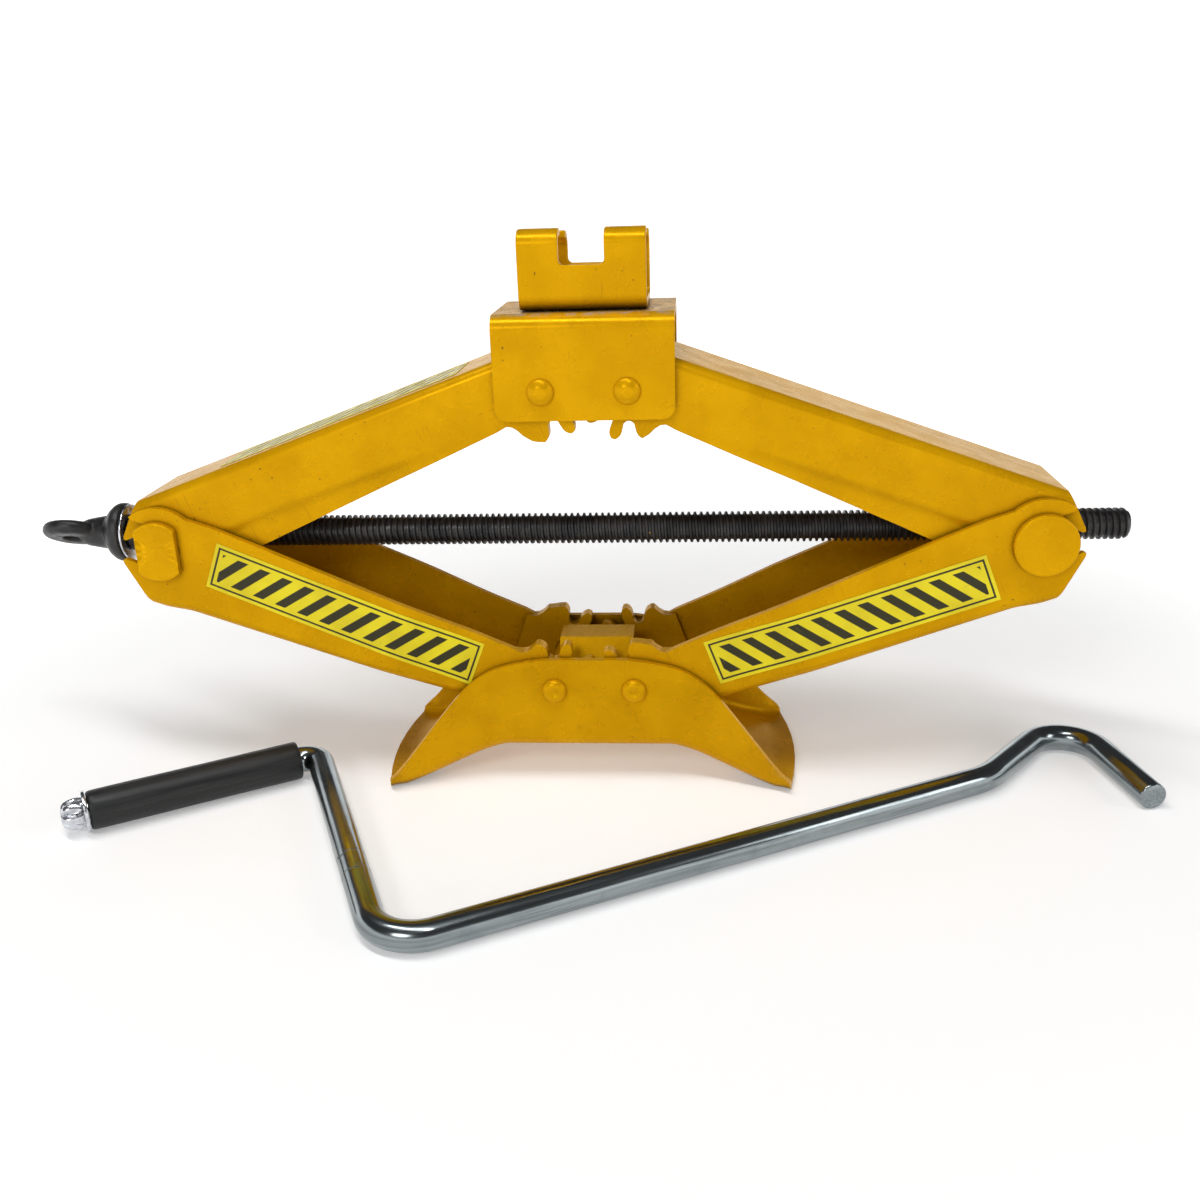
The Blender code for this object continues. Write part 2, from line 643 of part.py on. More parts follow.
def make_eye(mat, parent):
    """Forged eye with its collar: turned collar and neck, flattened ring, one hole."""
    collar = -SCREW_LEFT - 0.0013 - GAP
    ring_x = -EYE_TIP + 0.0130
    profile = [(collar, 0.0), (collar, 0.0122), (collar - 0.0024, 0.0126), (collar - 0.0058, 0.0108),
               (collar - 0.0085, 0.0070), (ring_x + 0.0060, 0.0056), (ring_x - 0.0020, 0.0030), (ring_x - 0.0020, 0.0)]
    matrix = Matrix.Translation(world(0, 0, SCREW_Z))
    obj = add_mesh("screw_eye", turned(profile, CIRCLE), mat, matrix, parent)
    disc = [(0.0031, 0.0), (0.0031, 0.0100), (0.0014, 0.0124), (-0.0014, 0.0124), (-0.0031, 0.0100), (-0.0031, 0.0)]
    centre = matrix @ Matrix.Translation((ring_x, 0, 0)) @ Matrix.Rotation(math.radians(-31), 4, "X")
    cut(obj, turned(disc, CIRCLE, "Z"), centre, "UNION")
    hole = turned(((-0.010, 0.0), (-0.010, 0.0058), (0.010, 0.0058), (0.010, 0.0)), SMALL_CIRCLE, "Z")
    cut(obj, hole, centre)


# -------------------------------------------------------------- crank handle
def rounded_route(corners, segments):
    """Polyline through the corners with each one bent to its radius."""
    points = [Vector(corners[0][0])]
    for (before, _), (corner, radius), (after, _) in zip(corners, corners[1:], corners[2:]):
        here = Vector(corner)
        back = (Vector(before) - here).normalized()
        ahead = (Vector(after) - here).normalized()
        half = back.angle(ahead) / 2
        centre = here + (back + ahead).normalized() * (radius / math.sin(half))
        start = here + back * (radius / math.tan(half)) - centre
        end = here + ahead * (radius / math.tan(half)) - centre
        sweep = start.angle(end)
        for i in range(segments + 1):
            t = i / segments
            points.append(centre + (start * math.sin((1 - t) * sweep) + end * math.sin(t * sweep)) / math.sin(sweep))
    points.append(Vector(corners[-1][0]))
    return points


def make_rod(mat, parent, origin):
    points = rounded_route(HANDLE_CORNERS, 10)
    curve = bpy.data.curves.new("crank_rod", "CURVE")
    curve.dimensions = "3D"
    curve.bevel_depth = ROD_RADIUS
    curve.bevel_resolution = 3
    curve.use_fill_caps = True
    spline = curve.splines.new("POLY")
    spline.points.add(len(points) - 1)
    for slot, point in zip(spline.points, points):
        spot = world(*point) - origin
        slot.co = (*spot, 1.0)
    curve.materials.append(mat)
    obj = bpy.data.objects.new("crank_rod", curve)
    bpy.context.collection.objects.link(obj)
    obj.location = origin
    place(obj, parent)


def grip_matrix():
    """Frame at the crimped end: X runs along the grip."""
    start = Vector(HANDLE_CORNERS[0][0])
    along = (Vector(HANDLE_CORNERS[1][0]) - start).normalized()
    across = Vector((0, 0, 1)).cross(along).normalized()
    matrix = Matrix((along, across, along.cross(across))).transposed().to_4x4()
    matrix.translation = world(*start)
    return matrix


def make_grip(mat, parent):
    end = GRIP_START + GRIP_LENGTH
    inner = ROD_RADIUS + GAP
    bm = bmesh.new()
    loops = []
    profile = ((GRIP_START, inner), (GRIP_START, GRIP_RADIUS - 0.0006), (GRIP_START + 0.0006, GRIP_RADIUS),
               (end - 0.0006, GRIP_RADIUS), (end, GRIP_RADIUS - 0.0006), (end, inner))
    for along, radius in profile:
        circle = arc(0, 0, radius, 0, 2 * math.pi, CIRCLE)[:-1]
        loops.append([bm.verts.new((along, y, z)) for y, z in circle])
    for k, loop in enumerate(loops):
        following = loops[(k + 1) % len(loops)]
        for i in range(CIRCLE):
            j = (i + 1) % CIRCLE
            bm.faces.new((loop[i], following[i], following[j], loop[j]))
    add_mesh("grip", bm, mat, grip_matrix(), parent)


def make_grip_washer(mat, parent):
    washer = ring(0.0086, ROD_RADIUS + GAP, GRIP_START - 0.0018, GRIP_START - GAP, CIRCLE)
    add_mesh("grip_washer", washer, mat, grip_matrix(), parent)


def make_all():
    yellow = make_material("yellow_paint", PAINT, 0.35, 0.0)
    black = make_material("black_steel", (0.02, 0.02, 0.022, 1.0), 0.40, 0.6)
    zinc = make_material("zinc_plate", (0.62, 0.64, 0.67, 1.0), 0.22, 1.0)
    rubber = make_material("black_plastic", (0.02, 0.02, 0.02, 1.0), 0.55, 0.0)
    sticker = make_material("label_film", (0.90, 0.78, 0.05, 1.0), 0.35, 0.0)

    make_foot(yellow, None)
    make_spacer(yellow, None)
    for side, word in ((-1, "left"), (1, "right")):
        make_pin("foot_pin_" + word, side, FOOT_PIVOT_Z, yellow, None)

    cap_pivot = None
    for side, word in ((-1, "left"), (1, "right")):
        lower_pivot = pivot("lower_pivot_" + word, world(side * PIVOT_HALF, 0, FOOT_PIVOT_Z))
        outer_pivot = pivot("outer_pivot_" + word, world(side * OUTER_X, 0, SCREW_Z), lower_pivot)
        trunnion_pivot = pivot("trunnion_pivot_" + word, world(side * OUTER_X, 0, SCREW_Z), lower_pivot)
        make_arm("lower_arm_" + word, side, False, yellow, lower_pivot)
        make_arm("upper_arm_" + word, side, True, yellow, outer_pivot)
        for face, where in ((-1, "front"), (1, "back")):
            local = face * side
            make_doubler("lower_gear_" + word + "_" + where, side, False, local, yellow, lower_pivot)
            make_doubler("upper_gear_" + word + "_" + where, side, True, -local, yellow, outer_pivot)
        make_label("lower_label_" + word, side, False, sticker, lower_pivot)
        if side < 0:
            make_label("upper_label_left", side, True, sticker, outer_pivot)
            make_trunnion("bearing_trunnion", side, True, 0.0062, yellow, trunnion_pivot)
            cap_pivot = pivot("cap_pivot", world(-PIVOT_HALF, 0, CAP_PIVOT_Z), outer_pivot)
            screw_axis = pivot("screw_axis", world(-OUTER_X, 0, SCREW_Z), trunnion_pivot)
            make_screw(black, screw_axis)
            make_eye(black, screw_axis)
            make_thrust_parts(zinc, black, screw_axis)
        else:
            make_trunnion("nut_trunnion", side, False, SCREW_RADIUS + 0.0004, yellow, trunnion_pivot)

    make_cap(yellow, cap_pivot)
    for side, word in ((-1, "left"), (1, "right")):
        make_pin("cap_pin_" + word, side, CAP_PIVOT_Z, yellow, cap_pivot)
    make_saddle_rivet(yellow, cap_pivot)
    saddle_axis = pivot("saddle_axis", world(0, 0, SADDLE_Z), cap_pivot)
    make_saddle(yellow, saddle_axis)

    handle_origin = world(*HANDLE_CORNERS[2][0])
    slide = pivot("handle_slide", handle_origin)
    make_rod(zinc, slide, handle_origin)
    make_grip_washer(zinc, slide)
    make_grip(rubber, slide)


clear_scene()
make_all()
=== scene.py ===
"""Looks of a scissor jack and of the crank handle that lies in front of it.

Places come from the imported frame's joints and boxes.  Each pressed, turned or
forged piece is built again with fine folds, softened edges and a real thread,
inside the space of its CAD node, and rides on that node's body.
"""

import json
import math

import bmesh
import bpy
from mathutils import Matrix, Vector


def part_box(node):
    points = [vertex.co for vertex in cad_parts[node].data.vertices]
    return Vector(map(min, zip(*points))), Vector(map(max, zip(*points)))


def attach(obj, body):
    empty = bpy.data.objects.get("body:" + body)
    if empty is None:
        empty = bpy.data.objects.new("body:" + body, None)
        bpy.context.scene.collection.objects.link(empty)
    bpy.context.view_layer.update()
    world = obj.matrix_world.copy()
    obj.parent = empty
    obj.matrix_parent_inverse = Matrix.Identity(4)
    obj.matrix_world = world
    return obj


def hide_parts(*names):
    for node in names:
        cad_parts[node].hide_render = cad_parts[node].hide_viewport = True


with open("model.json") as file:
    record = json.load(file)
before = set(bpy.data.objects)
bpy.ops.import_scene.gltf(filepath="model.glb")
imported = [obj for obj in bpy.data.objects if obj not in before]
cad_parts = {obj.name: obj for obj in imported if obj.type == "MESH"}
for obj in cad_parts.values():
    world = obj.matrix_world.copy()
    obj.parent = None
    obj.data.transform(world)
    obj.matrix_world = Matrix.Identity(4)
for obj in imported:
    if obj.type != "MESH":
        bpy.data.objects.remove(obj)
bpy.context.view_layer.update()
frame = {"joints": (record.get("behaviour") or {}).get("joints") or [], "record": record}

# ---- places
JOINTS = {joint["name"]: joint for joint in frame["joints"]}
BODY_OF = {node: body for body, nodes in frame["record"]["behaviour"]["bodies"].items() for node in nodes}


def joint_at(name):
    return Vector(JOINTS[name]["pos_m"])


LOWER_LEFT = joint_at("fold")
LOWER_RIGHT = joint_at("lower_right_fold")
OUTER_LEFT = joint_at("upper_left_fold")
OUTER_RIGHT = joint_at("upper_right_fold")
CAP_LEFT = joint_at("cap_level")
SADDLE_BASE = joint_at("saddle_swivel")
GRIP_END = joint_at("grip_spin")
GRIP_AXIS = Vector(JOINTS["grip_spin"]["axis"])

JACK = Vector(((LOWER_LEFT.x + LOWER_RIGHT.x) / 2, LOWER_LEFT.y, 0.0))
PIVOT_HALF = LOWER_RIGHT.x - JACK.x
FOOT_PIVOT_Z = LOWER_LEFT.z
CAP_PIVOT_Z = CAP_LEFT.z
SCREW_Z = OUTER_LEFT.z
OUTER_X = OUTER_RIGHT.x - JACK.x
ARM_LENGTH = (OUTER_RIGHT - LOWER_RIGHT).length
ARM_ANGLE = math.asin((SCREW_Z - FOOT_PIVOT_Z) / ARM_LENGTH)

# ---- sizes
SHEET = 0.0028
EDGE = 0.00045                # rounding of sheared sheet edges
GAP = 0.0003                  # clearance between touching pieces

GEAR_TEETH = 10
GEAR_TIP = 0.0198
GEAR_ROOT = 0.0124
FIRST_TOOTH = math.radians(93.7)
ARM_HALF = 0.0240
ARM_BEND = 0.0042
SLOT_HALF = 0.0085
HOOK_RADIUS = 0.0177
LOWER_ARM = {"web": (0.0176, 0.0300), "flare": 0.0016, "lip": (0.0090, 0.0530), "half": (ARM_HALF, 0.0268),
             "widens": (0.035, 0.075), "crease": None}
UPPER_ARM = {"web": (0.0165, 0.0260), "flare": 0.0, "lip": (0.0069, 0.0600), "half": (ARM_HALF, 0.0235),
             "widens": (0.050, 0.095), "crease": (0.0062, -0.030)}
CREASE_DEPTH = 0.0016

CAP_LOW, CAP_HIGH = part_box("cap")
CAP_HALF_X = (CAP_HIGH.x - CAP_LOW.x) / 2
CAP_HALF_Y = (CAP_HIGH.y - CAP_LOW.y) / 2
CAP_ABOVE = CAP_HIGH.z - CAP_PIVOT_Z
CAP_BELOW = CAP_PIVOT_Z - CAP_LOW.z
CAP_BEND = 0.0062
SADDLE_LOW, SADDLE_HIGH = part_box("saddle")
SADDLE_HALF_X = (SADDLE_HIGH.x - SADDLE_LOW.x) / 2
SADDLE_HALF_Y = (SADDLE_HIGH.y - SADDLE_LOW.y) / 2
SADDLE_HEIGHT = SADDLE_HIGH.z - SADDLE_LOW.z
SADDLE_BACK_DROP = 0.0022
SADDLE_LIP = 0.0100
SADDLE_BEND = 0.0062
NOTCH_HALF = 0.0085
NOTCH_DEPTH = 0.0128
FOOT_BEND = 0.0060
FOOT_WEB_Z = 0.0150

PIN_RADIUS = 0.0040
TRUNNION_NECK = 0.0081
TRUNNION_BODY = 0.0130
TRUNNION_HEAD = 0.0123
HEAD_THICKNESS = 0.0030
SCREW_RADIUS = 0.00635
SCREW_ROOT = 0.00515
SCREW_PITCH = 0.00254
SCREW_LEFT = 0.1975
SCREW_RIGHT = 0.2139
EYE_TIP = 0.2370
ROD_RADIUS = 0.0055
GRIP_RADIUS = 0.0081
GRIP_START = 0.0105
GRIP_LENGTH = 0.0845
# Corners of the crank's centre line from the jack's middle, and their bend radii.
HANDLE_CORNERS = (
    ((-0.2090, -0.0770, 0.0087), 0.0),
    ((-0.1210, -0.0220, 0.0083), 0.0074),
    ((-0.0624, -0.1520, 0.0056), 0.0175),
    ((0.1592, -0.0332, 0.0056), 0.0340),
    ((0.2050, 0.0236, 0.0056), 0.0155),
    ((0.2198, -0.0475, 0.0056), 0.0),
)

CIRCLE = 64
SMALL_CIRCLE = 40


# ---- mesh helpers
def jack_at(x, z):
    """Matrix of a place on the jack's middle plane."""
    return Matrix.Translation(JACK + Vector((x, 0, z)))


def arc(cx, cz, radius, start, end, segments):
    """Points along an arc; its angles are in degrees."""
    angles = [math.radians(start + (end - start) * i / segments) for i in range(segments + 1)]
    return [(cx + radius * math.cos(angle), cz + radius * math.sin(angle)) for angle in angles]


def mirrored(points):
    """The same points on the other side, in backward order."""
    return [(-a, b) for a, b in reversed(points)]


def ease(value, start, end):
    """0 before start, 1 after end, smooth between them."""
    t = min(max((value - start) / (end - start), 0.0), 1.0)
    return t * t * (3 - 2 * t)


def smooth_table(x, table):
    """A curve through ((x, value), ...) with continuous slope."""
    count = len(table)
    for i in range(count - 1):
        if x <= table[i + 1][0] or i == count - 2:
            break
    x0, v0 = table[i]
    x1, v1 = table[i + 1]
    slopes = []
    for k in (i, i + 1):
        before = table[max(k - 1, 0)]
        after = table[min(k + 1, count - 1)]
        slopes.append((after[1] - before[1]) / (after[0] - before[0]))
    if v0 == v1:
        return v0
    width = x1 - x0
    t = min(max((x - x0) / width, 0.0), 1.0)
    return ((2 * t ** 3 - 3 * t ** 2 + 1) * v0 + (t ** 3 - 2 * t ** 2 + t) * width * slopes[0]
            + (3 * t ** 2 - 2 * t ** 3) * v1 + (t ** 3 - t ** 2) * width * slopes[1])


def new_object(name, bm, matrix=None):
    bmesh.ops.recalc_face_normals(bm, faces=bm.faces)
    mesh = bpy.data.meshes.new(name)
    bm.to_mesh(mesh)
    bm.free()
    obj = bpy.data.objects.new(name, mesh)
    bpy.context.collection.objects.link(obj)
    if matrix is not None:
        obj.matrix_world = matrix
    return obj


def settle(obj):
    """Turn an object's modifiers into its mesh."""
    bpy.context.view_layer.update()
    evaluated = obj.evaluated_get(bpy.context.evaluated_depsgraph_get())
    mesh = bpy.data.meshes.new_from_object(evaluated)
    old = obj.data
    obj.modifiers.clear()
    obj.data = mesh
    bpy.data.meshes.remove(old)
    mesh.name = obj.name


def carve(obj, bm, matrix=None, operation="DIFFERENCE"):
    """Cut a shape out of the object, or join or intersect it."""
    bpy.context.view_layer.update()
    tool = new_object(obj.name + "_tool", bm, obj.matrix_world.copy() if matrix is None else matrix)
    modifier = obj.modifiers.new("carve", "BOOLEAN")
    modifier.operation = operation
    modifier.solver = "EXACT"
    modifier.use_self = True
    modifier.object = tool
    settle(obj)
    mesh = tool.data
    bpy.data.objects.remove(tool)
    bpy.data.meshes.remove(mesh)


def soften(obj, width=EDGE, angle=38.0, segments=2):
    """Round the sharp edges, and keep flat faces flat in the shading."""
    bevel = obj.modifiers.new("soften", "BEVEL")
    bevel.width = width
    bevel.segments = segments
    bevel.limit_method = "ANGLE"
    bevel.angle_limit = math.radians(angle)
    bevel.miter_outer = "MITER_ARC"
    settle(obj)
    obj.data.shade_smooth()
    weighted = obj.modifiers.new("flats", "WEIGHTED_NORMAL")
    weighted.mode = "FACE_AREA_WITH_ANGLE"
    weighted.weight = 60


def prism(outline, y0, y1, bm=None):
    """A closed outline of (x, z) points, extruded along Y."""
    bm = bm or bmesh.new()
    near = [bm.verts.new((x, y0, z)) for x, z in outline]
    far = [bm.verts.new((x, y1, z)) for x, z in outline]
    bm.faces.new(near)
    bm.faces.new(list(reversed(far)))
    for i in range(len(outline)):
        j = (i + 1) % len(outline)
        bm.faces.new((near[i], far[i], far[j], near[j]))
    return bm


def add_cylinder(bm, radius, y0, y1, x=0.0, z=0.0):
    prism(arc(x, z, radius, 0, 360, SMALL_CIRCLE)[:-1], y0, y1, bm)


def loft(sections):
    """Skin closed loops that all have the same number of points.

    A loop runs along one side and back along the other, so each end is closed with rungs between them.
    """
    bm = bmesh.new()
    loops = [[bm.verts.new(p) for p in section] for section in sections]
    count = len(loops[0])
    for a, b in zip(loops, loops[1:]):
        for i in range(count):
            j = (i + 1) % count
            bm.faces.new((a[i], a[j], b[j], b[i]))
    for loop in (loops[0], loops[-1]):
        for i in range(count // 2 - 1):
            bm.faces.new((loop[i], loop[i + 1], loop[count - 2 - i], loop[count - 1 - i]))
    return bm


def skin(bm, rings):
    """Faces between rings of vertices; a ring of one vertex makes a fan."""
    sides = max(len(ring) for ring in rings)
    for a, b in zip(rings, rings[1:]):
        for i in range(sides):
            j = (i + 1) % sides
            if len(a) == 1:
                bm.faces.new((a[0], b[i], b[j]))
            elif len(b) == 1:
                bm.faces.new((a[i], b[0], a[j]))
            else:
                bm.faces.new((a[i], b[i], b[j], a[j]))


TURN_TO = {"X": Matrix.Identity(3), "Y": Matrix.Rotation(math.pi / 2, 3, "Z"),
           "Z": Matrix.Rotation(-math.pi / 2, 3, "Y")}


def turned(profile, sides, axis="X"):
    """Turn (along, radius) points round an axis; a profile that avoids the axis closes on itself."""
    bm = bmesh.new()
    rings = []
    for along, radius in profile:
        if radius == 0.0:
            rings.append([bm.verts.new((along, 0, 0))])
            continue
        circle = arc(0, 0, radius, 0, 360, sides)[:-1]
        rings.append([bm.verts.new((along, y, z)) for y, z in circle])
    if len(rings[0]) > 1 and len(rings[-1]) > 1:
        rings.append(rings[0])
    skin(bm, rings)
    bmesh.ops.rotate(bm, verts=bm.verts, matrix=TURN_TO[axis])
    return bm


def rounded_bar(radius, start, end, edge, inner=0.0):
    """Profile of a disc or bush with rounded rims, for turned()."""
    rim = [(start + edge - edge * math.cos(a), radius - edge + edge * math.sin(a))
           for a in (0, math.pi / 8, math.pi / 4, 3 * math.pi / 8, math.pi / 2)]
    back = [(start + end - along, r) for along, r in reversed(rim)]
    return [(start, inner)] + rim + back + [(end, inner)]


# ---- materials
def add_node(near, kind, inputs=None, **settings):
    """A shader node in the tree of another node or socket.

    An input that is given as another node's output is linked, and any other is set.
    """
    tree = near.id_data
    made = tree.nodes.new(kind)
    for key, value in settings.items():
        setattr(made, key, value)
    for key, value in (inputs or {}).items():
        if isinstance(value, bpy.types.NodeSocket):
            tree.links.new(value, made.inputs[key])
        else:
            made.inputs[key].default_value = value
    return made


def new_material(name, roughness, metallic=0.0, specular=0.5):
    mat = bpy.data.materials.new(name)
    mat.use_nodes = True
    shader = mat.node_tree.nodes["Principled BSDF"]
    shader.inputs["Roughness"].default_value = roughness
    shader.inputs["Metallic"].default_value = metallic
    shader.inputs["Specular IOR Level"].default_value = specular
    return mat, shader


def surface(shader, colour, rough, normal):
    for key, value in (("Base Color", colour), ("Roughness", rough), ("Normal", normal)):
        shader.id_data.links.new(value, shader.inputs[key])


def spot_of(shader):
    """Place on the object, in its own metres."""
    return add_node(shader, "ShaderNodeTexCoord").outputs["Object"]


def flow_of(shader):
    """Place that a mesh carries in its flow attribute."""
    return add_node(shader, "ShaderNodeAttribute", attribute_name="flow").outputs["Vector"]


def parts_of(vector):
    return add_node(vector, "ShaderNodeSeparateXYZ", {"Vector": vector}).outputs


def noise(vector, scale, detail=3.0, roughness=0.55):
    made = add_node(vector, "ShaderNodeTexNoise",
                    {"Vector": vector, "Scale": scale, "Detail": detail, "Roughness": roughness})
    return made.outputs["Fac"]


def scaled(vector, scale):
    return add_node(vector, "ShaderNodeMapping", {"Vector": vector, "Scale": scale}).outputs["Vector"]


def between(value, low, high, to_low=0.0, to_high=1.0):
    """Map a value from low..high to to_low..to_high, clamped and smooth."""
    made = add_node(value, "ShaderNodeMapRange",
                    {"Value": value, "From Min": low, "From Max": high, "To Min": to_low, "To Max": to_high},
                    interpolation_type="SMOOTHSTEP")
    return made.outputs["Result"]


def math_of(operation, a, b=0.0):
    """One operation on values of which at least one is another node's output."""
    near = a if isinstance(a, bpy.types.NodeSocket) else b
    return add_node(near, "ShaderNodeMath", {0: a, 1: b}, operation=operation).outputs[0]


def times(a, b):
    return math_of("MULTIPLY", a, b)


def mix(factor, a, b):
    """Mix two colours."""
    return add_node(factor, "ShaderNodeMix", {0: factor, 6: a, 7: b}, data_type="RGBA").outputs[2]


def bump(height, distance, strength=1.0, normal=None):
    inputs = {"Height": height, "Distance": distance, "Strength": strength}
    if normal is not None:
        inputs["Normal"] = normal
    return add_node(height, "ShaderNodeBump", inputs).outputs["Normal"]


def edge_mask(shader, radius):
    """1 on edges that stand out or fold sharply, 0 on flats and wide bends."""
    rounded = add_node(shader, "ShaderNodeBevel", {"Radius": radius}, samples=6).outputs["Normal"]
    straight = add_node(shader, "ShaderNodeNewGeometry").outputs["Normal"]
    dot = add_node(rounded, "ShaderNodeVectorMath", {0: rounded, 1: straight}, operation="DOT_PRODUCT")
    return between(dot.outputs["Value"], 0.97, 0.80)


PAINT_LIGHT = (0.600, 0.305, 0.0018, 1.0)
PAINT_DARK = (0.530, 0.262, 0.0015, 1.0)
PAINT_WORN = (0.330, 0.150, 0.0060, 1.0)
DIRT = (0.030, 0.022, 0.014, 1.0)
BARE_STEEL = (0.36, 0.34, 0.31, 1.0)
PAINT_CHIPPED = (0.20, 0.105, 0.012, 1.0)
# deep brown of the painted shade in crevices
PAINTED_CREVICE_SHADE = (0.085, 0.038, 0.002, 1.0)


def paint_material(name, scratch_scale=(900.0, 900.0, 45.0), scuff=None, streaked=None):
    """Amber enamel over pressed steel, a little metallic so that its gloss stays amber at any angle.

    The paint is rubbed off where the object's Z runs from the first value of scuff to the second,
    and carries upright scratches between the two heights of streaked.
    """
    mat, shader = new_material(name, 0.30, metallic=0.24, specular=0.08)
    shader.inputs["Specular Tint"].default_value = (1.0, 0.78, 0.22, 1.0)
    spot = spot_of(shader)
    cloudy = noise(spot, 38.0, 4.0)
    colour = mix(between(cloudy, 0.36, 0.66), PAINT_LIGHT, PAINT_DARK)
    grime = between(noise(spot, 150.0, 6.0, 0.7), 0.60, 0.78)
    colour = mix(times(grime, 0.40), colour, PAINT_WORN)
    specks = between(noise(spot, 620.0, 2.0, 0.4), 0.735, 0.775)
    patches = between(noise(spot, 55.0, 2.0), 0.46, 0.60)
    colour = mix(times(times(specks, patches), 0.75), colour, DIRT)
    lines = between(noise(scaled(spot, scratch_scale), 1.0, 2.0, 0.5), 0.66, 0.72)
    scratched = between(noise(spot, 26.0, 2.0), 0.52, 0.66)
    height = parts_of(spot)["Z"]
    if streaked is not None:
        low, high = streaked
        band = times(between(height, low, low + 0.006), between(height, high, high - 0.003))
        scratched = math_of("MAXIMUM", scratched, band)
    scratches = times(lines, scratched)
    rubbed = scratches
    if scuff is not None:
        zone = between(height, *scuff)
        worn = between(noise(spot, 210.0, 7.0, 0.75), 0.44, 0.62)
        zone = times(zone, worn)
        colour = mix(times(zone, 0.72), colour, BARE_STEEL)
        rubbed = math_of("MAXIMUM", scratches, zone)
    colour = mix(times(scratches, 0.45), colour, PAINT_WORN)
    edges = edge_mask(shader, 0.0009)
    chips = times(edges, between(noise(spot, 240.0, 5.0, 0.7), 0.47, 0.62))
    colour = mix(times(chips, 0.62), colour, PAINT_CHIPPED)
    # Painted shade: the colour darkens to a deep brown where ambient occlusion finds nearby surfaces, in
    # crevices, inside the channels and round pins.
    open_share = add_node(shader, "ShaderNodeAmbientOcclusion", {"Distance": 0.007}, samples=6).outputs["AO"]
    colour = mix(between(open_share, 0.80, 0.15, 0.0, 0.85), colour, PAINTED_CREVICE_SHADE)
    rough = between(noise(spot, 90.0, 4.0), 0.30, 0.75, 0.24, 0.33)
    rough = math_of("ADD", rough, times(rubbed, 0.16))
    peel = bump(noise(spot, 700.0, 3.0, 0.5), 0.00006, 0.55)
    dents = bump(noise(spot, 60.0, 3.0, 0.5), 0.0006, 0.16, peel)
    marks = bump(times(rubbed, -1.0), 0.00005, 0.5, dents)
    surface(shader, colour, rough, marks)
    return mat


def black_steel_material():
    """Black phosphate with an oily sheen, rust tints and a few specks of overspray."""
    mat, shader = new_material("black_phosphate_steel", 0.42, metallic=0.35, specular=0.5)
    spot = spot_of(shader)
    colour = mix(between(noise(spot, 120.0, 4.0), 0.35, 0.68),
                 (0.012, 0.012, 0.013, 1.0), (0.034, 0.032, 0.031, 1.0))
    worn = times(edge_mask(shader, 0.0005), between(noise(spot, 160.0, 4.0), 0.40, 0.66))
    colour = mix(times(worn, 0.5), colour, (0.14, 0.135, 0.13, 1.0))
    specks = between(noise(spot, 480.0, 2.0, 0.4), 0.755, 0.79)
    colour = mix(specks, colour, PAINT_DARK)
    rough = between(noise(spot, 300.0, 4.0), 0.3, 0.7, 0.30, 0.55)
    surface(shader, colour, rough, bump(noise(spot, 1400.0, 4.0, 0.6), 0.00005, 0.7))
    return mat


ZINC_LIGHT = (0.30, 0.335, 0.345, 1.0)
ZINC_DARK = (0.19, 0.215, 0.225, 1.0)
ZINC_BLUE = (0.14, 0.175, 0.195, 1.0)
CRACKS = (0.1790, 0.1905)      # distances along the rod


def zinc_material():
    """Bright zinc plate on a drawn rod: streaks run along it, with cracks across its arm.

    The flow attribute holds the distance along the rod and the place round it.
    """
    mat, shader = new_material("bright_zinc_rod", 0.2, metallic=1.0)
    flow = flow_of(shader)
    spot = spot_of(shader)
    streaks = noise(scaled(flow, (22.0, 900.0, 900.0)), 1.0, 4.0, 0.6)
    colour = mix(between(streaks, 0.35, 0.7), ZINC_LIGHT, ZINC_DARK)
    blotches = between(noise(spot, 75.0, 4.0, 0.6), 0.50, 0.72)
    colour = mix(times(blotches, 0.45), colour, ZINC_BLUE)
    along = parts_of(flow)["X"]
    wander = times(math_of("SUBTRACT", noise(spot, 230.0, 4.0, 0.6), 0.5), 0.012)
    cracks = None
    for place in CRACKS:
        gap = math_of("ABSOLUTE", math_of("SUBTRACT", math_of("ADD", along, wander), place))
        line = between(gap, 0.00042, 0.00012)
        cracks = line if cracks is None else math_of("MAXIMUM", cracks, line)
    colour = mix(times(cracks, 0.85), colour, (0.05, 0.045, 0.04, 1.0))
    rough = between(streaks, 0.3, 0.75, 0.12, 0.27)
    rough = math_of("ADD", rough, times(cracks, 0.4))
    grain = bump(streaks, 0.00003, 0.6)
    surface(shader, colour, rough, bump(times(cracks, -1.0), 0.0002, 0.8, grain))
    return mat


def zinc_washer_material():
    """Brighter, cloudy zinc of the washers and of the crimped end."""
    mat, shader = new_material("bright_zinc_washer", 0.2, metallic=1.0)
    spot = spot_of(shader)
    cloudy = between(noise(spot, 300.0, 4.0), 0.35, 0.68)
    colour = mix(cloudy, (0.66, 0.68, 0.72, 1.0), (0.45, 0.47, 0.50, 1.0))
    rough = between(noise(spot, 500.0, 4.0), 0.3, 0.7, 0.12, 0.34)
    surface(shader, colour, rough, bump(noise(spot, 900.0, 4.0), 0.00006, 0.6))
    return mat


def grip_material():
    """Smooth black plastic with faint rubbing along the sleeve and a little dust."""
    mat, shader = new_material("black_plastic_sleeve", 0.5, specular=0.30)
    spot = spot_of(shader)
    streaks = noise(scaled(spot, (30.0, 700.0, 700.0)), 1.0, 4.0, 0.6)
    colour = mix(between(streaks, 0.42, 0.72),
                 (0.011, 0.012, 0.012, 1.0), (0.022, 0.022, 0.022, 1.0))
    dust = between(noise(spot, 900.0, 3.0, 0.6), 0.66, 0.76)
    colour = mix(times(dust, 0.35), colour, (0.13, 0.12, 0.10, 1.0))
    rough = between(streaks, 0.3, 0.75, 0.36, 0.56)
    fine = bump(noise(spot, 1600.0, 3.0), 0.00004, 0.5)
    surface(shader, colour, rough, bump(streaks, 0.00008, 0.5, fine))
    return mat


STRIPE_PITCH = 0.0095


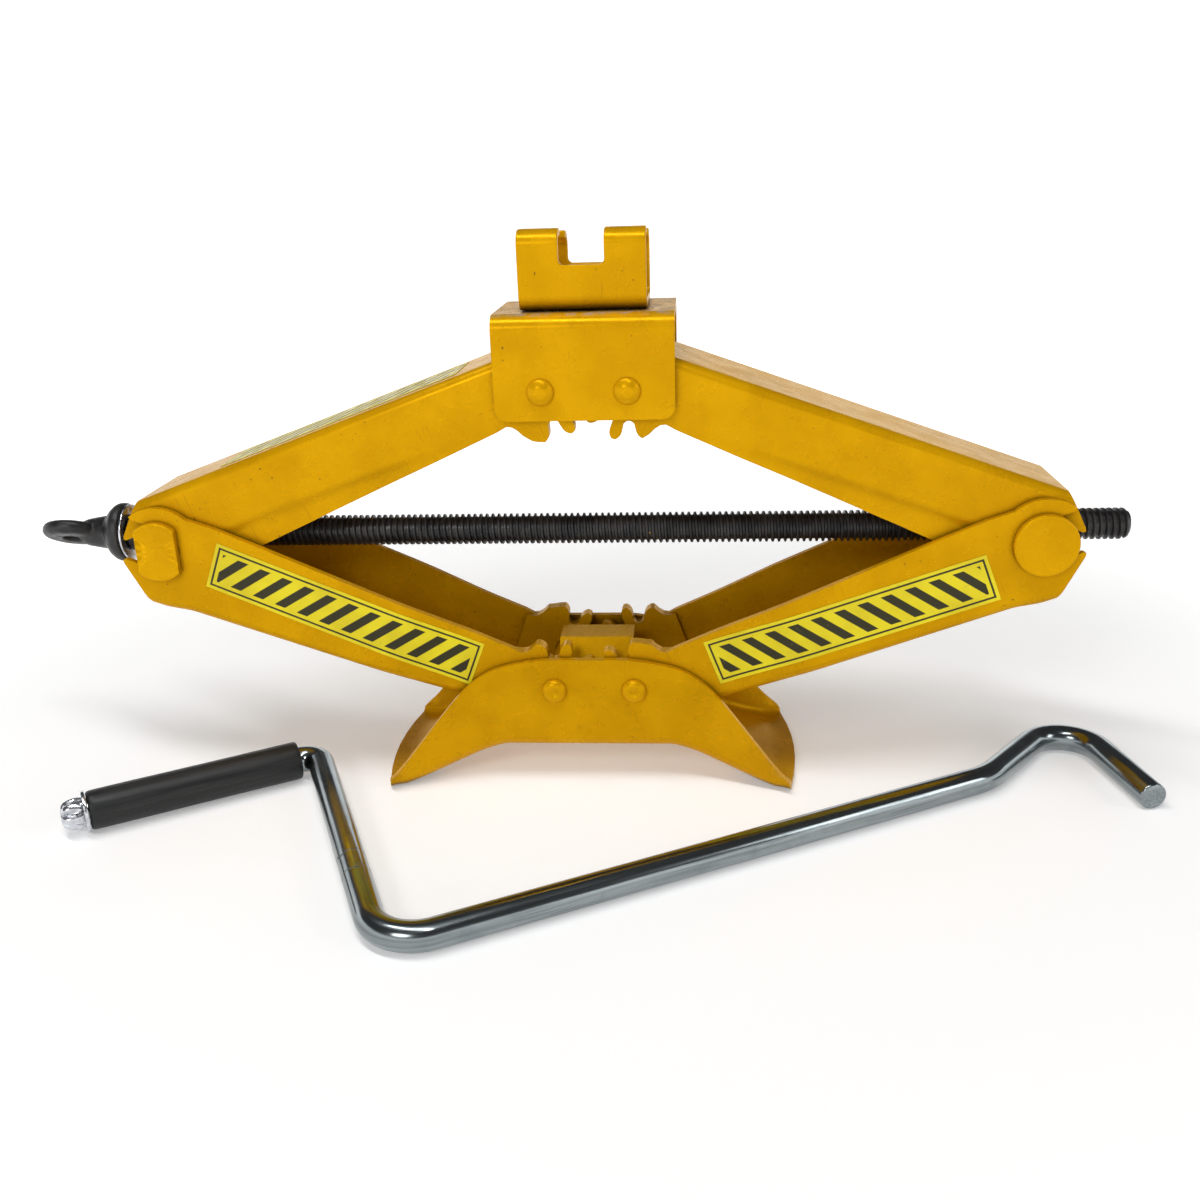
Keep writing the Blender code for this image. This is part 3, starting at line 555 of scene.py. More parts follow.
def label_material(name, length, height):
    """Lemon film with a thin dark border and a block of hazard stripes; it holds no words or signs."""
    mat, shader = new_material(name, 0.36, specular=0.22)
    flow = flow_of(shader)
    spot = spot_of(shader)
    parts = parts_of(flow)
    film = mix(between(noise(spot, 60.0, 4.0), 0.35, 0.7),
               (0.72, 0.60, 0.012, 1.0), (0.62, 0.50, 0.010, 1.0))
    from_end = math_of("SUBTRACT", length / 2, math_of("ABSOLUTE", parts["X"]))
    from_side = math_of("SUBTRACT", height / 2, math_of("ABSOLUTE", parts["Y"]))
    inset = math_of("MINIMUM", from_end, from_side)
    rule = times(between(inset, 0.0013, 0.0014), between(inset, 0.0022, 0.0021))
    slant = math_of("ADD", parts["X"], times(parts["Y"], 0.8))
    wave = math_of("FRACT", times(slant, 1 / STRIPE_PITCH))
    bars = times(between(wave, 0.02, 0.05), between(wave, 0.52, 0.49))
    inside = between(inset, 0.0036, 0.0037)
    stripes = times(bars, inside)
    print_mask = math_of("MAXIMUM", rule, stripes)
    colour = mix(times(print_mask, 0.97), film, (0.010, 0.010, 0.009, 1.0))
    rubs = between(noise(spot, 330.0, 6.0, 0.7), 0.60, 0.74)
    colour = mix(times(rubs, 0.3), colour, (0.30, 0.24, 0.06, 1.0))
    rough = between(noise(spot, 200.0, 4.0), 0.3, 0.7, 0.28, 0.45)
    surface(shader, colour, rough, bump(noise(spot, 260.0, 4.0), 0.00010, 0.5))
    return mat


def floor_material():
    """Matt white near the object, and glowing softly far from it like a lit cyclorama."""
    mat, shader = new_material("pale_floor", 0.8, specular=0.1)
    spot = spot_of(shader)
    colour = mix(noise(spot, 3.0, 3.0), (0.88, 0.88, 0.88, 1.0), (0.85, 0.85, 0.85, 1.0))
    links = mat.node_tree.links
    links.new(colour, shader.inputs["Base Color"])
    flat = add_node(spot, "ShaderNodeVectorMath", {0: spot, 1: (1.0, 1.0, 0.0)}, operation="MULTIPLY")
    away = add_node(flat, "ShaderNodeVectorMath", {0: flat.outputs[0]}, operation="LENGTH").outputs["Value"]
    shader.inputs["Emission Color"].default_value = (1.0, 1.0, 1.0, 1.0)
    links.new(between(away, 0.15, 0.85, 0.24, 0.86), shader.inputs["Emission Strength"])
    return mat


def keep(obj, mat, *nodes, body=None):
    """Give the piece its finish, and let it stand for its CAD nodes on their body."""
    obj.data.materials.clear()
    obj.data.materials.append(mat)
    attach(obj, body or BODY_OF[nodes[0]])
    if nodes:
        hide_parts(*nodes)


def smooth_shade(obj, sharp):
    """Smooth shading that breaks where faces meet at more than this many degrees."""
    obj.data.shade_smooth()
    obj.data.set_sharp_from_angle(angle=math.radians(sharp))


def turned_piece(name, profile, matrix, mat, node, sides=CIRCLE, axis="X", sharp=50):
    """A turned part that stands for one CAD node."""
    obj = new_object(name, turned(profile, sides, axis), matrix)
    smooth_shade(obj, sharp)
    keep(obj, mat, node)


def drill(radius, reach):
    """Profile of a round hole's cutter."""
    return ((-reach, 0.0), (-reach, radius), (reach, radius), (reach, 0.0))


def pin_holes(height=0.0, shift=0.0):
    """Cutter for the holes of a pair of pivot pins."""
    bm = bmesh.new()
    for side in (-1, 1):
        add_cylinder(bm, PIN_RADIUS + GAP, -0.040, 0.040, side * PIVOT_HALF - shift, height)
    return bm


# ---- the arms
def arm_matrix(side, upper):
    """X runs from the inner pivot to the screw's pivot, Z to the open side of the U."""
    up = -1 if upper else 1
    along = Vector((side * math.cos(ARM_ANGLE), 0, up * math.sin(ARM_ANGLE)))
    opening = Vector((-side * math.sin(ARM_ANGLE), 0, up * math.cos(ARM_ANGLE)))
    matrix = Matrix((along, opening.cross(along), opening)).transposed().to_4x4()
    matrix.translation = JACK + Vector((side * PIVOT_HALF, 0, CAP_PIVOT_Z if upper else FOOT_PIVOT_Z))
    return matrix


def web_depth(arm, x):
    return arm["web"][0] + arm["web"][1] * x + arm["flare"] * ease(x, 0.150, 0.164)


def lip_height(arm, x):
    return arm["lip"][0] + arm["lip"][1] * x


def half_width(arm, x, z=None):
    start, end = arm["half"]
    half = start + (end - start) * ease(x, *arm["widens"])
    if arm["crease"] is None or z is None:
        return half
    line = arm["crease"][0] + arm["crease"][1] * (x - 0.050)
    share = ease(x, 0.040, 0.075) * (1 - ease(x, 0.130, 0.150))
    return half - CREASE_DEPTH * ease(z, line - 0.0014, line + 0.0014) * share


def gear_point(angle, radius):
    """Angles run from the arm's tail (-X) towards its open side (+Z)."""
    return (-radius * math.cos(angle), radius * math.sin(angle))


def gear_blank():
    return [gear_point(math.radians(a), GEAR_TIP) for a in range(-36, 125, 2)]


def gear_shoulder(arm):
    """The open edge dips between the last lobe and the arm."""
    lip = lip_height(arm, 0.0185)
    return [(0.0136, lip + 0.0052), (0.0148, lip + 0.0026), (0.0163, lip + 0.0006), (0.0182, lip - 0.0004)]


def side_outline(arm):
    """Side view of an arm: gear blank, open edge, hook, slot and end corner."""
    tail = web_depth(arm, 0) - SHEET - 0.0006
    outline = [(0.0, -tail), (-0.0090, -tail)] + gear_blank()
    outline += gear_shoulder(arm) + [(0.0225, lip_height(arm, 0.0225))]
    hook = arc(ARM_LENGTH, 0, HOOK_RADIUS, 112, 40, 24)
    outline.append((hook[0][0] - 0.012, lip_height(arm, ARM_LENGTH - 0.018) - 0.0002))
    outline += hook
    outline += [(ARM_LENGTH + 0.0150, 0.0094), (ARM_LENGTH + 0.0135, SLOT_HALF)]
    outline += arc(ARM_LENGTH, 0, SLOT_HALF, 90, 270, 24)
    outline += [(ARM_LENGTH + 0.0124, -SLOT_HALF), (ARM_LENGTH + 0.0132, -0.0092),
                (ARM_LENGTH + 0.0126, -0.0104), (ARM_LENGTH - 0.0016, -0.0234),
                (ARM_LENGTH - 0.0040, -0.0246), (ARM_LENGTH - 0.0070, -0.0262)]
    outline.append((0.0, -web_depth(arm, 0) - 0.0020))
    return outline


WALL_LEVELS = (0.030, 0.0090, 0.0075, 0.0062, 0.0050, 0.0038, 0.0026, 0.0014, 0.0002, -0.0012)


def channel_section(arm, x):
    """The U of the folded sheet at one station, as one closed loop."""
    depth = web_depth(arm, x)
    loop = []
    for thick in (0.0, SHEET):
        bend = ARM_BEND - thick
        bottom = depth - thick
        half = half_width(arm, x) - thick
        corner = arc(half - bend, -bottom + bend, bend, 0, -90, 8)
        wall = [(half_width(arm, x, z) - thick, z) for z in WALL_LEVELS]
        side = wall + corner + mirrored(wall + corner)
        loop += side if thick == 0.0 else list(reversed(side))
    return [(x, y, z) for y, z in loop]


def tooth_space(bm, angle, y0, y1):
    """One gap between two teeth, with a round root."""
    side = [(0.0130, 0.0020), (0.0148, 0.0024), (0.0164, 0.0028), (0.0176, 0.0034), (0.0184, 0.0042),
            (0.0190, 0.0052), (0.0194, 0.0060), (0.0250, 0.0080)]
    root = arc(GEAR_ROOT + 0.0016, 0.0, 0.0020, 230, 130, 6)
    outline = [(r, y) for r, y in side] + [(r, -y) for r, y in reversed(side)]
    outline += [(r, y) for r, y in root]
    turn = Matrix.Rotation(math.pi - angle, 2)
    prism([tuple(turn @ Vector(point)) for point in outline], y0, y1, bm)


def gear_cutter(sides, reach):
    """Tooth spaces and the pivot's hole; the two walls stand half a tooth apart."""
    pitch = 2 * math.pi / GEAR_TEETH
    bm = bmesh.new()
    for side in sides:
        first = FIRST_TOOTH + (pitch / 2 if side > 0 else 0.0)
        y0, y1 = sorted((side * 0.010, side * reach))
        for k in range(4):
            tooth_space(bm, first - k * pitch, y0, y1)
    y0 = min(min(sides), 0.0) * reach
    y1 = max(max(sides), 0.0) * reach
    add_cylinder(bm, PIN_RADIUS + GAP, y0, y1)
    return bm


def make_arm(node, side, upper, mat):
    arm = UPPER_ARM if upper else LOWER_ARM
    start, end = arm["widens"]
    stations = [-0.030, 0.030] + [start + (end - start) * i / 10 for i in range(11)]
    stations += [0.105, 0.115, 0.125, 0.135, 0.142, 0.148]
    stations += [0.150 + 0.002 * i for i in range(9)] + [0.200]
    sections = [channel_section(arm, x) for x in sorted(set(stations))]
    obj = new_object(node + "_pressing", loft(sections), arm_matrix(side, upper))
    carve(obj, prism(side_outline(arm), -0.040, 0.040), operation="INTERSECT")
    carve(obj, gear_cutter((-1, 1), 0.040))
    soften(obj)
    keep(obj, mat, node)


def make_gear_plate(node, side, upper, face, mat):
    arm = UPPER_ARM if upper else LOWER_ARM
    outer = ARM_HALF - SHEET - 0.0001
    y0, y1 = sorted((face * outer, face * (outer - SHEET)))
    outline = gear_blank()
    outline += gear_shoulder(arm) + [(0.0212, lip_height(arm, 0.0212) - 0.0012), (0.0205, -0.0118),
                                     (-0.0080, -0.0124)]
    obj = new_object(node + "_plate", prism(outline, y0, y1), arm_matrix(side, upper))
    carve(obj, gear_cutter((face,), 0.040))
    soften(obj)
    keep(obj, mat, node)


# ---- labels
def strip_mesh(points, length, height):
    """A thin film through a grid of points; flow holds the place on the film."""
    bm = bmesh.new()
    flow = bm.verts.layers.float_vector.new("flow")
    rows = []
    for i, column in enumerate(points):
        row = []
        for j, point in enumerate(column):
            vert = bm.verts.new(point)
            u = i / (len(points) - 1) - 0.5
            v = j / (len(column) - 1) - 0.5
            vert[flow] = Vector((length * u, height * v, 0))
            row.append(vert)
        rows.append(row)
    for a, b in zip(rows, rows[1:]):
        for j in range(len(a) - 1):
            bm.faces.new((a[j], b[j], b[j + 1], a[j + 1]))
    return bm


def make_label(node, matrix, points, length, height):
    obj = new_object(node + "_film", strip_mesh(points, length, height), matrix)
    solid = obj.modifiers.new("thickness", "SOLIDIFY")
    solid.thickness = 0.00014
    solid.offset = 0.0
    settle(obj)
    smooth_shade(obj, 40)
    keep(obj, label_material(node + "_film", length, height), node)


def make_wall_label(node, side, middle):
    """Film on the viewer's wall of a lower arm."""
    near, far, half_height = 0.0335, 0.1482, 0.0098
    points = []
    for i in range(49):
        t = i / 48
        x = near + (far - near) * t
        y = -side * (half_width(LOWER_ARM, x) + 0.00016)
        centre = middle[0] + (middle[1] - middle[0]) * t
        points.append([(x, y, centre + half_height * k) for k in (-1.0, -0.5, 0.0, 0.5, 1.0)])
    make_label(node, arm_matrix(side, False), points, far - near, 2 * half_height)


def make_web_label(node, side):
    """Film on the outside of an upper arm's web."""
    near, far, half_height = 0.030, 0.135, 0.0150
    points = []
    for i in range(25):
        x = near + (far - near) * i / 24
        z = -web_depth(UPPER_ARM, x) - 0.00016
        points.append([(x, half_height * k, z) for k in (-1.0, -0.5, 0.0, 0.5, 1.0)])
    make_label(node, arm_matrix(side, True), points, far - near, 2 * half_height)


# ---- foot and cap
FOOT_HALF_X = 0.0825         # at the wings' corners; their ends bulge out from there
FOOT_BULGE = 0.0050
FOOT_MIDDLE = -0.0032
FOOT_WEB = ((0.0, FOOT_WEB_Z), (0.034, FOOT_WEB_Z), (0.038, 0.0143), (0.046, 0.0115), (0.060, 0.0060),
            (0.0765, 0.0), (FOOT_HALF_X, 0.0))
FOOT_RIM = ((0.0, 0.0550), (0.018, 0.0548), (0.030, 0.0528), (0.040, 0.0497), (0.049, 0.0437),
            (0.055, 0.0377), (0.0615, 0.0300), (0.0705, 0.0187), (0.0765, 0.0112), (FOOT_HALF_X, 0.0050))
FOOT_SPLAY = ((0.0, 0.0), (0.044, 0.0), (0.053, 0.0018), (0.062, 0.0045), (0.0715, 0.0080),
              (0.0795, 0.0108), (FOOT_HALF_X, 0.0118))


def foot_section(x):
    """Section across the foot, as one closed loop: outside, then inside."""
    along = abs(x)
    floor = max(smooth_table(along, FOOT_WEB), 0.0)
    rim = smooth_table(along, FOOT_RIM)
    splay = max(smooth_table(along, FOOT_SPLAY), 0.0)
    bend = min(FOOT_BEND, rim - floor - 0.0004)
    bulge = FOOT_BULGE * ease(along, 0.060, FOOT_HALF_X)
    top_half = CAP_HALF_Y + splay
    low_half = CAP_HALF_Y + 0.85 * splay
    loop = []
    for thick in (0.0, SHEET):
        radius = max(bend - thick, 0.0004)
        corner = arc(low_half - bend, floor + bend, radius, 0, -90, 8)
        foot_y, foot_z = corner[0]
        wall = [(top_half - thick + (foot_y - top_half + thick) * t, rim + (foot_z - rim) * t)
                for t in (0.0, 0.25, 0.5, 0.75)]
        web = [(corner[-1][0] * t, floor + thick) for t in (0.66, 0.33)]
        side = wall + corner + web + [(0.0, floor + thick)]
        side += mirrored(wall + corner + web)
        loop += side if thick == 0.0 else list(reversed(side))
    return [(x + math.copysign(bulge * (1 - (y / top_half) ** 2), x), y, z) for y, z in loop]


def make_foot(mat):
    half = [0.006, 0.012, 0.018, 0.024, 0.030, 0.034]
    half += [0.034 + 0.0025 * i for i in range(1, 20)]
    half.append(FOOT_HALF_X)
    stations = [-x for x in reversed(half)] + half
    obj = new_object("foot_pressing", loft([foot_section(x) for x in stations]), jack_at(FOOT_MIDDLE, 0))
    carve(obj, pin_holes(FOOT_PIVOT_Z, FOOT_MIDDLE))
    soften(obj, 0.0006)
    keep(obj, mat, "foot")


def make_spacer(mat):
    low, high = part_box("spacer_block")
    base = low.z
    top = high.z
    half_x = (high.x - low.x) / 2
    outer = [(-0.0172, base), (-0.0172, 0.040), (-0.0070, top),
             (0.0070, top), (0.0172, 0.040), (0.0172, base)]
    inner = [(0.0144, base), (0.0144, 0.0389), (0.0059, top - SHEET), (-0.0059, top - SHEET),
             (-0.0144, 0.0389), (-0.0144, base)]
    sections = [[(x, y, z) for y, z in outer + inner] for x in (-half_x, half_x)]
    obj = new_object("spacer_block_pressing", loft(sections), Matrix.Translation(JACK))
    carve(obj, pin_holes(FOOT_PIVOT_Z))
    soften(obj, 0.0007, angle=30, segments=3)
    keep(obj, mat, "spacer_block")


def make_pin(node, side, height, chamfered, mat):
    """Riveted pin; the upper ones have a cone with a small flat, the lower ones a dome with a ring."""
    face = CAP_HALF_Y + 0.00005
    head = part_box(node)[1].y - JACK.y - face
    if chamfered:
        shape = [(1.0, 0.0), (1.0, 0.0021), (0.97, 0.0025), (0.52, 0.0043), (0.38, 0.0048), (0.18, 0.0051),
                 (0.0, 0.0052)]
    else:
        shape = [(0.80, 0.0), (0.80, 0.0012), (0.86, 0.0015), (0.97, 0.0019), (1.0, 0.0024), (0.97, 0.0032),
                 (0.82, 0.0041), (0.58, 0.0047), (0.25, 0.0051), (0.0, 0.0052)]
    profile = [(face + head * along, radius) for along, radius in shape] + [(face, PIN_RADIUS)]
    profile += mirrored(profile)
    matrix = jack_at(side * PIVOT_HALF, height)
    turned_piece(node + "_rivet", profile, matrix, mat, node, SMALL_CIRCLE, "Y")


def make_cap(mat):
    half = CAP_HALF_Y
    top = CAP_ABOVE
    loop = []
    for thick in (0.0, SHEET):
        right = arc(half - CAP_BEND, top - CAP_BEND, CAP_BEND - thick, 0, 90, 10)
        side = [(half - thick, -CAP_BELOW)] + right
        side += mirrored(side)
        loop += side if thick == 0.0 else list(reversed(side))
    stations = (-CAP_HALF_X, -0.020, 0.0, 0.020, CAP_HALF_X)
    matrix = jack_at(0, CAP_PIVOT_Z)
    obj = new_object("cap_pressing", loft([[(x, y, z) for y, z in loop] for x in stations]), matrix)
    corner = 0.0050
    far_x = CAP_HALF_X + 0.001
    outline = [(far_x, top + 0.002), (-far_x, top + 0.002), (-far_x, 0.0), (-CAP_HALF_X, 0.0)]
    outline += arc(-CAP_HALF_X + corner, -CAP_BELOW + corner, corner, 180, 270, 12)
    outline += arc(CAP_HALF_X - corner, -CAP_BELOW + corner, corner, 270, 360, 12)
    outline += [(CAP_HALF_X, 0.0), (far_x, 0.0)]
    carve(obj, prism(outline, -0.040, 0.040), operation="INTERSECT")
    carve(obj, pin_holes())
    rivet_hole = turned(drill(0.0043, 0.010), SMALL_CIRCLE, "Z")
    carve(obj, rivet_hole, jack_at(0, CAP_HIGH.z))
    soften(obj)
    keep(obj, mat, "cap")


def make_saddle(mat):
    half = SADDLE_HALF_Y
    loop = []
    for thick in (0.0, SHEET):
        bend = SADDLE_BEND - thick
        walls = []
        for top in (SADDLE_HEIGHT, SADDLE_HEIGHT - SADDLE_BACK_DROP):
            low = arc(half - SADDLE_BEND, SADDLE_BEND, bend, -90, 0, 10)
            high = arc(half - SADDLE_BEND, top - SADDLE_BEND, bend, 0, 90, 10)
            walls.append(low + high + [(half - SADDLE_LIP, top - thick)])
        front, back = walls
        contour = mirrored(front) + back
        loop += contour if thick == 0.0 else list(reversed(contour))
    stations = (-SADDLE_HALF_X, -0.012, 0.0, 0.012, SADDLE_HALF_X)
    matrix = Matrix.Translation(SADDLE_BASE)
    obj = new_object("saddle_pressing", loft([[(x, y, z) for y, z in loop] for x in stations]), matrix)
    corner = 0.0020
    for low, y0, y1 in ((SADDLE_HEIGHT - NOTCH_DEPTH, -0.040, 0.0),
                        (SADDLE_HEIGHT - NOTCH_DEPTH - SADDLE_BACK_DROP, 0.0, 0.040)):
        notch = [(NOTCH_HALF, 0.040), (-NOTCH_HALF, 0.040)]
        notch += arc(-NOTCH_HALF + corner, low + corner, corner, 180, 270, 8)
        notch += arc(NOTCH_HALF - corner, low + corner, corner, 270, 360, 8)
        carve(obj, prism(notch, y0, y1))
    carve(obj, turned(drill(0.0043, 0.005), SMALL_CIRCLE, "Z"))
    soften(obj, 0.0006, segments=3)
    keep(obj, mat, "saddle")


def make_saddle_rivet(mat):
    """Domed above the saddle's floor, flat under the cap's web."""
    above = SHEET + 0.0001
    below = -SHEET - 0.0006
    rise = 0.0024
    dome = [(above + rise * math.cos(math.radians(10 * i)), 0.0072 * math.sin(math.radians(10 * i)))
            for i in range(1, 10)]
    profile = [(above + rise, 0.0)] + dome
    profile += [(above, 0.0040), (below, 0.0040), (below, 0.0070),
                (below - 0.0018, 0.0064), (below - 0.0018, 0.0)]
    matrix = Matrix.Translation(SADDLE_BASE)
    turned_piece("saddle_rivet_turned", profile, matrix, mat, "saddle_rivet", SMALL_CIRCLE, "Z")


# ---- trunnions, screw
def make_trunnion(node, side, flats, hole, mat):
    """Cross pin through both arms' slots; the left one's heads have two flats."""
    inner = UPPER_ARM["half"][1] - SHEET - 0.0004
    outer = LOWER_ARM["half"][1] + GAP
    face = outer + HEAD_THICKNESS
    rim = arc(face - 0.0007, TRUNNION_HEAD - 0.0007, 0.0007, 0, 90, 4)
    profile = [(face - 0.00025, 0.0), (face - 0.00025, TRUNNION_HEAD - 0.0022),
               (face, TRUNNION_HEAD - 0.0014)]
    profile += rim + [(outer, TRUNNION_HEAD), (outer, TRUNNION_NECK), (inner, TRUNNION_NECK),
                      (inner, TRUNNION_BODY)]
    profile += mirrored(profile)
    matrix = jack_at(side * OUTER_X, SCREW_Z)
    obj = new_object(node + "_turned", turned(profile, CIRCLE, "Y"), matrix)
    carve(obj, turned(drill(hole, 0.020), SMALL_CIRCLE))
    if flats:
        slabs = bmesh.new()
        for way in (-1, 1):
            for head in (-1, 1):
                y0, y1 = sorted((head * (outer - 0.0001), head * 0.040))
                x0, x1 = sorted((way * 0.0083, way * 0.0200))
                prism(((x0, -0.020), (x1, -0.020), (x1, 0.020), (x0, 0.020)), y0, y1, slabs)
        carve(obj, slabs, matrix)
    soften(obj, 0.0003, angle=45)
    keep(obj, mat, node)


SCREW_MATRIX = jack_at(0, SCREW_Z)
COLLAR_X = -SCREW_LEFT - 0.0016      # the eye's collar starts here, behind the washer


def screw_envelope(x):
    """Largest radius of the screw at x: chamfered free end."""
    return 0.0046 + (SCREW_RADIUS - 0.0046) * math.sqrt(min(max((SCREW_RIGHT - x) / 0.0022, 0.0), 1.0))


def make_screw(mat):
    """Trapezoidal thread as one helical skin that is clamped at both ends."""
    start = -OUTER_X + 0.0135
    end = SCREW_RIGHT
    steps = 32
    flank = ((0.00, SCREW_ROOT), (0.34, SCREW_ROOT), (0.50, SCREW_RADIUS - 0.0001), (0.54, SCREW_RADIUS),
             (0.80, SCREW_RADIUS), (0.84, SCREW_RADIUS - 0.0001))
    turns = math.ceil((end - start) / SCREW_PITCH) + 2
    bm = bmesh.new()
    grid = []
    for i in range(turns * steps + 1):
        angle = 2 * math.pi * i / steps
        row = []
        for share, radius in flank:
            x = start - SCREW_PITCH + SCREW_PITCH * (i / steps + share)
            x = min(max(x, start), end)
            r = min(radius, screw_envelope(x))
            row.append(bm.verts.new((x, r * math.cos(angle), r * math.sin(angle))))
        grid.append(row)
    for i in range(turns * steps):
        for j in range(len(flank)):
            if j + 1 < len(flank):
                a, b = grid[i][j + 1], grid[i + 1][j + 1]
            elif i + steps + 1 < len(grid):
                a, b = grid[i + steps][0], grid[i + steps + 1][0]
            else:
                continue
            bm.faces.new((grid[i][j], a, b, grid[i + 1][j]))
    bmesh.ops.remove_doubles(bm, verts=bm.verts, dist=0.000004)
    bmesh.ops.dissolve_degenerate(bm, edges=bm.edges, dist=0.000002)
    bmesh.ops.holes_fill(bm, edges=[e for e in bm.edges if e.is_boundary], sides=0)
    obj = new_object("screw_thread", bm, SCREW_MATRIX)
    smooth_shade(obj, 38)
    keep(obj, mat, "screw")
    left = -SCREW_LEFT + GAP
    shank = [(left, 0.0), (left, 0.0054), (left + 0.0004, 0.0058), (start + 0.0002, 0.0058),
             (start + 0.0006, 0.0050), (start + 0.0006, 0.0)]
    bar = new_object("screw_shank", turned(shank, CIRCLE), SCREW_MATRIX)
    smooth_shade(bar, 40)
    keep(bar, mat, body="screw_bar")


def make_thrust_parts(steel, black):
    """Washer under the eye's collar, and the sleeve that leans on the left trunnion."""
    washer = rounded_bar(0.0118, COLLAR_X + GAP, -SCREW_LEFT - GAP, 0.0003, 0.0063)
    turned_piece("thrust_washer_turned", washer, SCREW_MATRIX, steel, "thrust_washer", sharp=40)
    sleeve = rounded_bar(0.0078, -SCREW_LEFT + GAP, -OUTER_X - TRUNNION_BODY - 0.0002, 0.0005, 0.0062)
    turned_piece("thrust_bearing_turned", sleeve, SCREW_MATRIX, black, "thrust_bearing", sharp=40)


def make_eye(mat):
    """Forged eye: collar, neck and flattened ring, blended by remeshing and smoothing."""
    collar = COLLAR_X
    ring_x = -EYE_TIP + 0.0134
    profile = [(collar, 0.0), (collar, 0.0118), (collar - 0.0008, 0.0123), (collar - 0.0026, 0.0125),
               (collar - 0.0042, 0.0120), (collar - 0.0062, 0.0104), (collar - 0.0085, 0.0073),
               (ring_x + 0.0070, 0.0058), (ring_x - 0.0005, 0.0030), (ring_x - 0.0005, 0.0)]
    obj = new_object("screw_eye_forging", turned(profile, CIRCLE), SCREW_MATRIX)
    half_disc = [(0.0030, 0.0), (0.0030, 0.0100), (0.0024, 0.0117), (0.0011, 0.0127)]
    disc = half_disc + mirrored(half_disc)
    centre = SCREW_MATRIX @ Matrix.Translation((ring_x, 0, 0)) @ Matrix.Rotation(math.radians(-31), 4, "X")
    carve(obj, turned(disc, CIRCLE, "Z"), centre, "UNION")
    carve(obj, turned(drill(0.0046, 0.010), SMALL_CIRCLE, "Z"), centre)
    remesh = obj.modifiers.new("forge", "REMESH")
    remesh.mode = "VOXEL"
    remesh.voxel_size = 0.00042
    smooth = obj.modifiers.new("round", "SMOOTH")
    smooth.factor = 0.5
    smooth.iterations = 14
    settle(obj)
    obj.data.shade_smooth()
    keep(obj, mat, "screw_eye")


# ---- crank handle
def rounded_route(corners, segments):
    """Polyline through the corners with each one bent to its radius."""
    points = [Vector(corners[0][0])]
    for (before, _), (corner, radius), (after, _) in zip(corners, corners[1:], corners[2:]):
        here = Vector(corner)
        back = (Vector(before) - here).normalized()
        ahead = (Vector(after) - here).normalized()
        half = back.angle(ahead) / 2
        centre = here + (back + ahead).normalized() * (radius / math.sin(half))
        start = here + back * (radius / math.tan(half)) - centre
        end = here + ahead * (radius / math.tan(half)) - centre
        sweep = start.angle(end)
        for i in range(segments + 1):
            t = i / segments
            turn = (start * math.sin((1 - t) * sweep) + end * math.sin(t * sweep)) / math.sin(sweep)
            points.append(centre + turn)
    points.append(Vector(corners[-1][0]))
    return points


def swept(points, radii, sides):
    """Sweep a circle along a nearly level route; flow holds distance along and place round."""
    bm = bmesh.new()
    flow = bm.verts.layers.float_vector.new("flow")
    rings = []
    distance = 0.0
    for i, point in enumerate(points):
        if i:
            distance += (point - points[i - 1]).length
        before = points[max(i - 1, 0)]
        after = points[min(i + 1, len(points) - 1)]
        along = (after - before).normalized()
        across = Vector((0, 0, 1)).cross(along).normalized()
        up = along.cross(across)
        ring = []
        for k in range(sides):
            angle = 2 * math.pi * k / sides
            offset = across * math.cos(angle) + up * math.sin(angle)
            vert = bm.verts.new(point + offset * radii[i])
            vert[flow] = Vector((distance, ROD_RADIUS * math.cos(angle), ROD_RADIUS * math.sin(angle)))
            ring.append(vert)
        rings.append(ring)
    skin(bm, rings)
    bm.faces.new(rings[0])
    bm.faces.new(list(reversed(rings[-1])))
    return bm


def make_rod(mat):
    route = rounded_route(HANDLE_CORNERS, 28)
    first = route[0] + (route[1] - route[0]).normalized() * (GRIP_START - 0.0019)
    last = route[-1]
    back = (route[-2] - last).normalized()
    long_stretch = [first] + [first.lerp(route[1], t) for t in (0.25, 0.5, 0.75)] + route[1:-1]
    points = [JACK + p for p in long_stretch + [last + back * 0.0007, last + back * 0.0003, last]]
    radii = [ROD_RADIUS] * (len(points) - 3) + [ROD_RADIUS, ROD_RADIUS - 0.0002, ROD_RADIUS - 0.0006]
    obj = new_object("crank_rod_drawn", swept(points, radii, 48))
    smooth_shade(obj, 55)
    keep(obj, mat, "crank_rod")


def grip_matrix():
    """Frame at the crimped end: X runs along the grip."""
    across = Vector((0, 0, 1)).cross(GRIP_AXIS).normalized()
    matrix = Matrix((GRIP_AXIS, across, GRIP_AXIS.cross(across))).transposed().to_4x4()
    matrix.translation = GRIP_END
    return matrix


def make_crimp(mat):
    """The rod's end, pressed into six lobes that hold the washer."""
    stations = ((0.0003, 0.50, 0.42), (0.0008, 0.78, 0.40), (0.0018, 0.98, 0.36), (0.0034, 1.10, 0.30),
                (0.0056, 1.16, 0.20), (0.0074, 1.16, 0.08), (GRIP_START - 0.0016, 1.08, 0.0))
    sections = []
    for x, size, pinch in stations:
        loop = []
        for k in range(CIRCLE):
            angle = 2 * math.pi * k / CIRCLE
            groove = (0.5 - 0.5 * math.cos(6 * angle)) ** 2.5
            radius = ROD_RADIUS * size * (1 - pinch * groove)
            loop.append((x, radius * math.cos(angle), radius * math.sin(angle)))
        sections.append(loop)
    obj = new_object("crimped_end", loft(sections), grip_matrix())
    soften(obj, 0.0003, angle=60)
    keep(obj, mat, body=BODY_OF["crank_rod"])


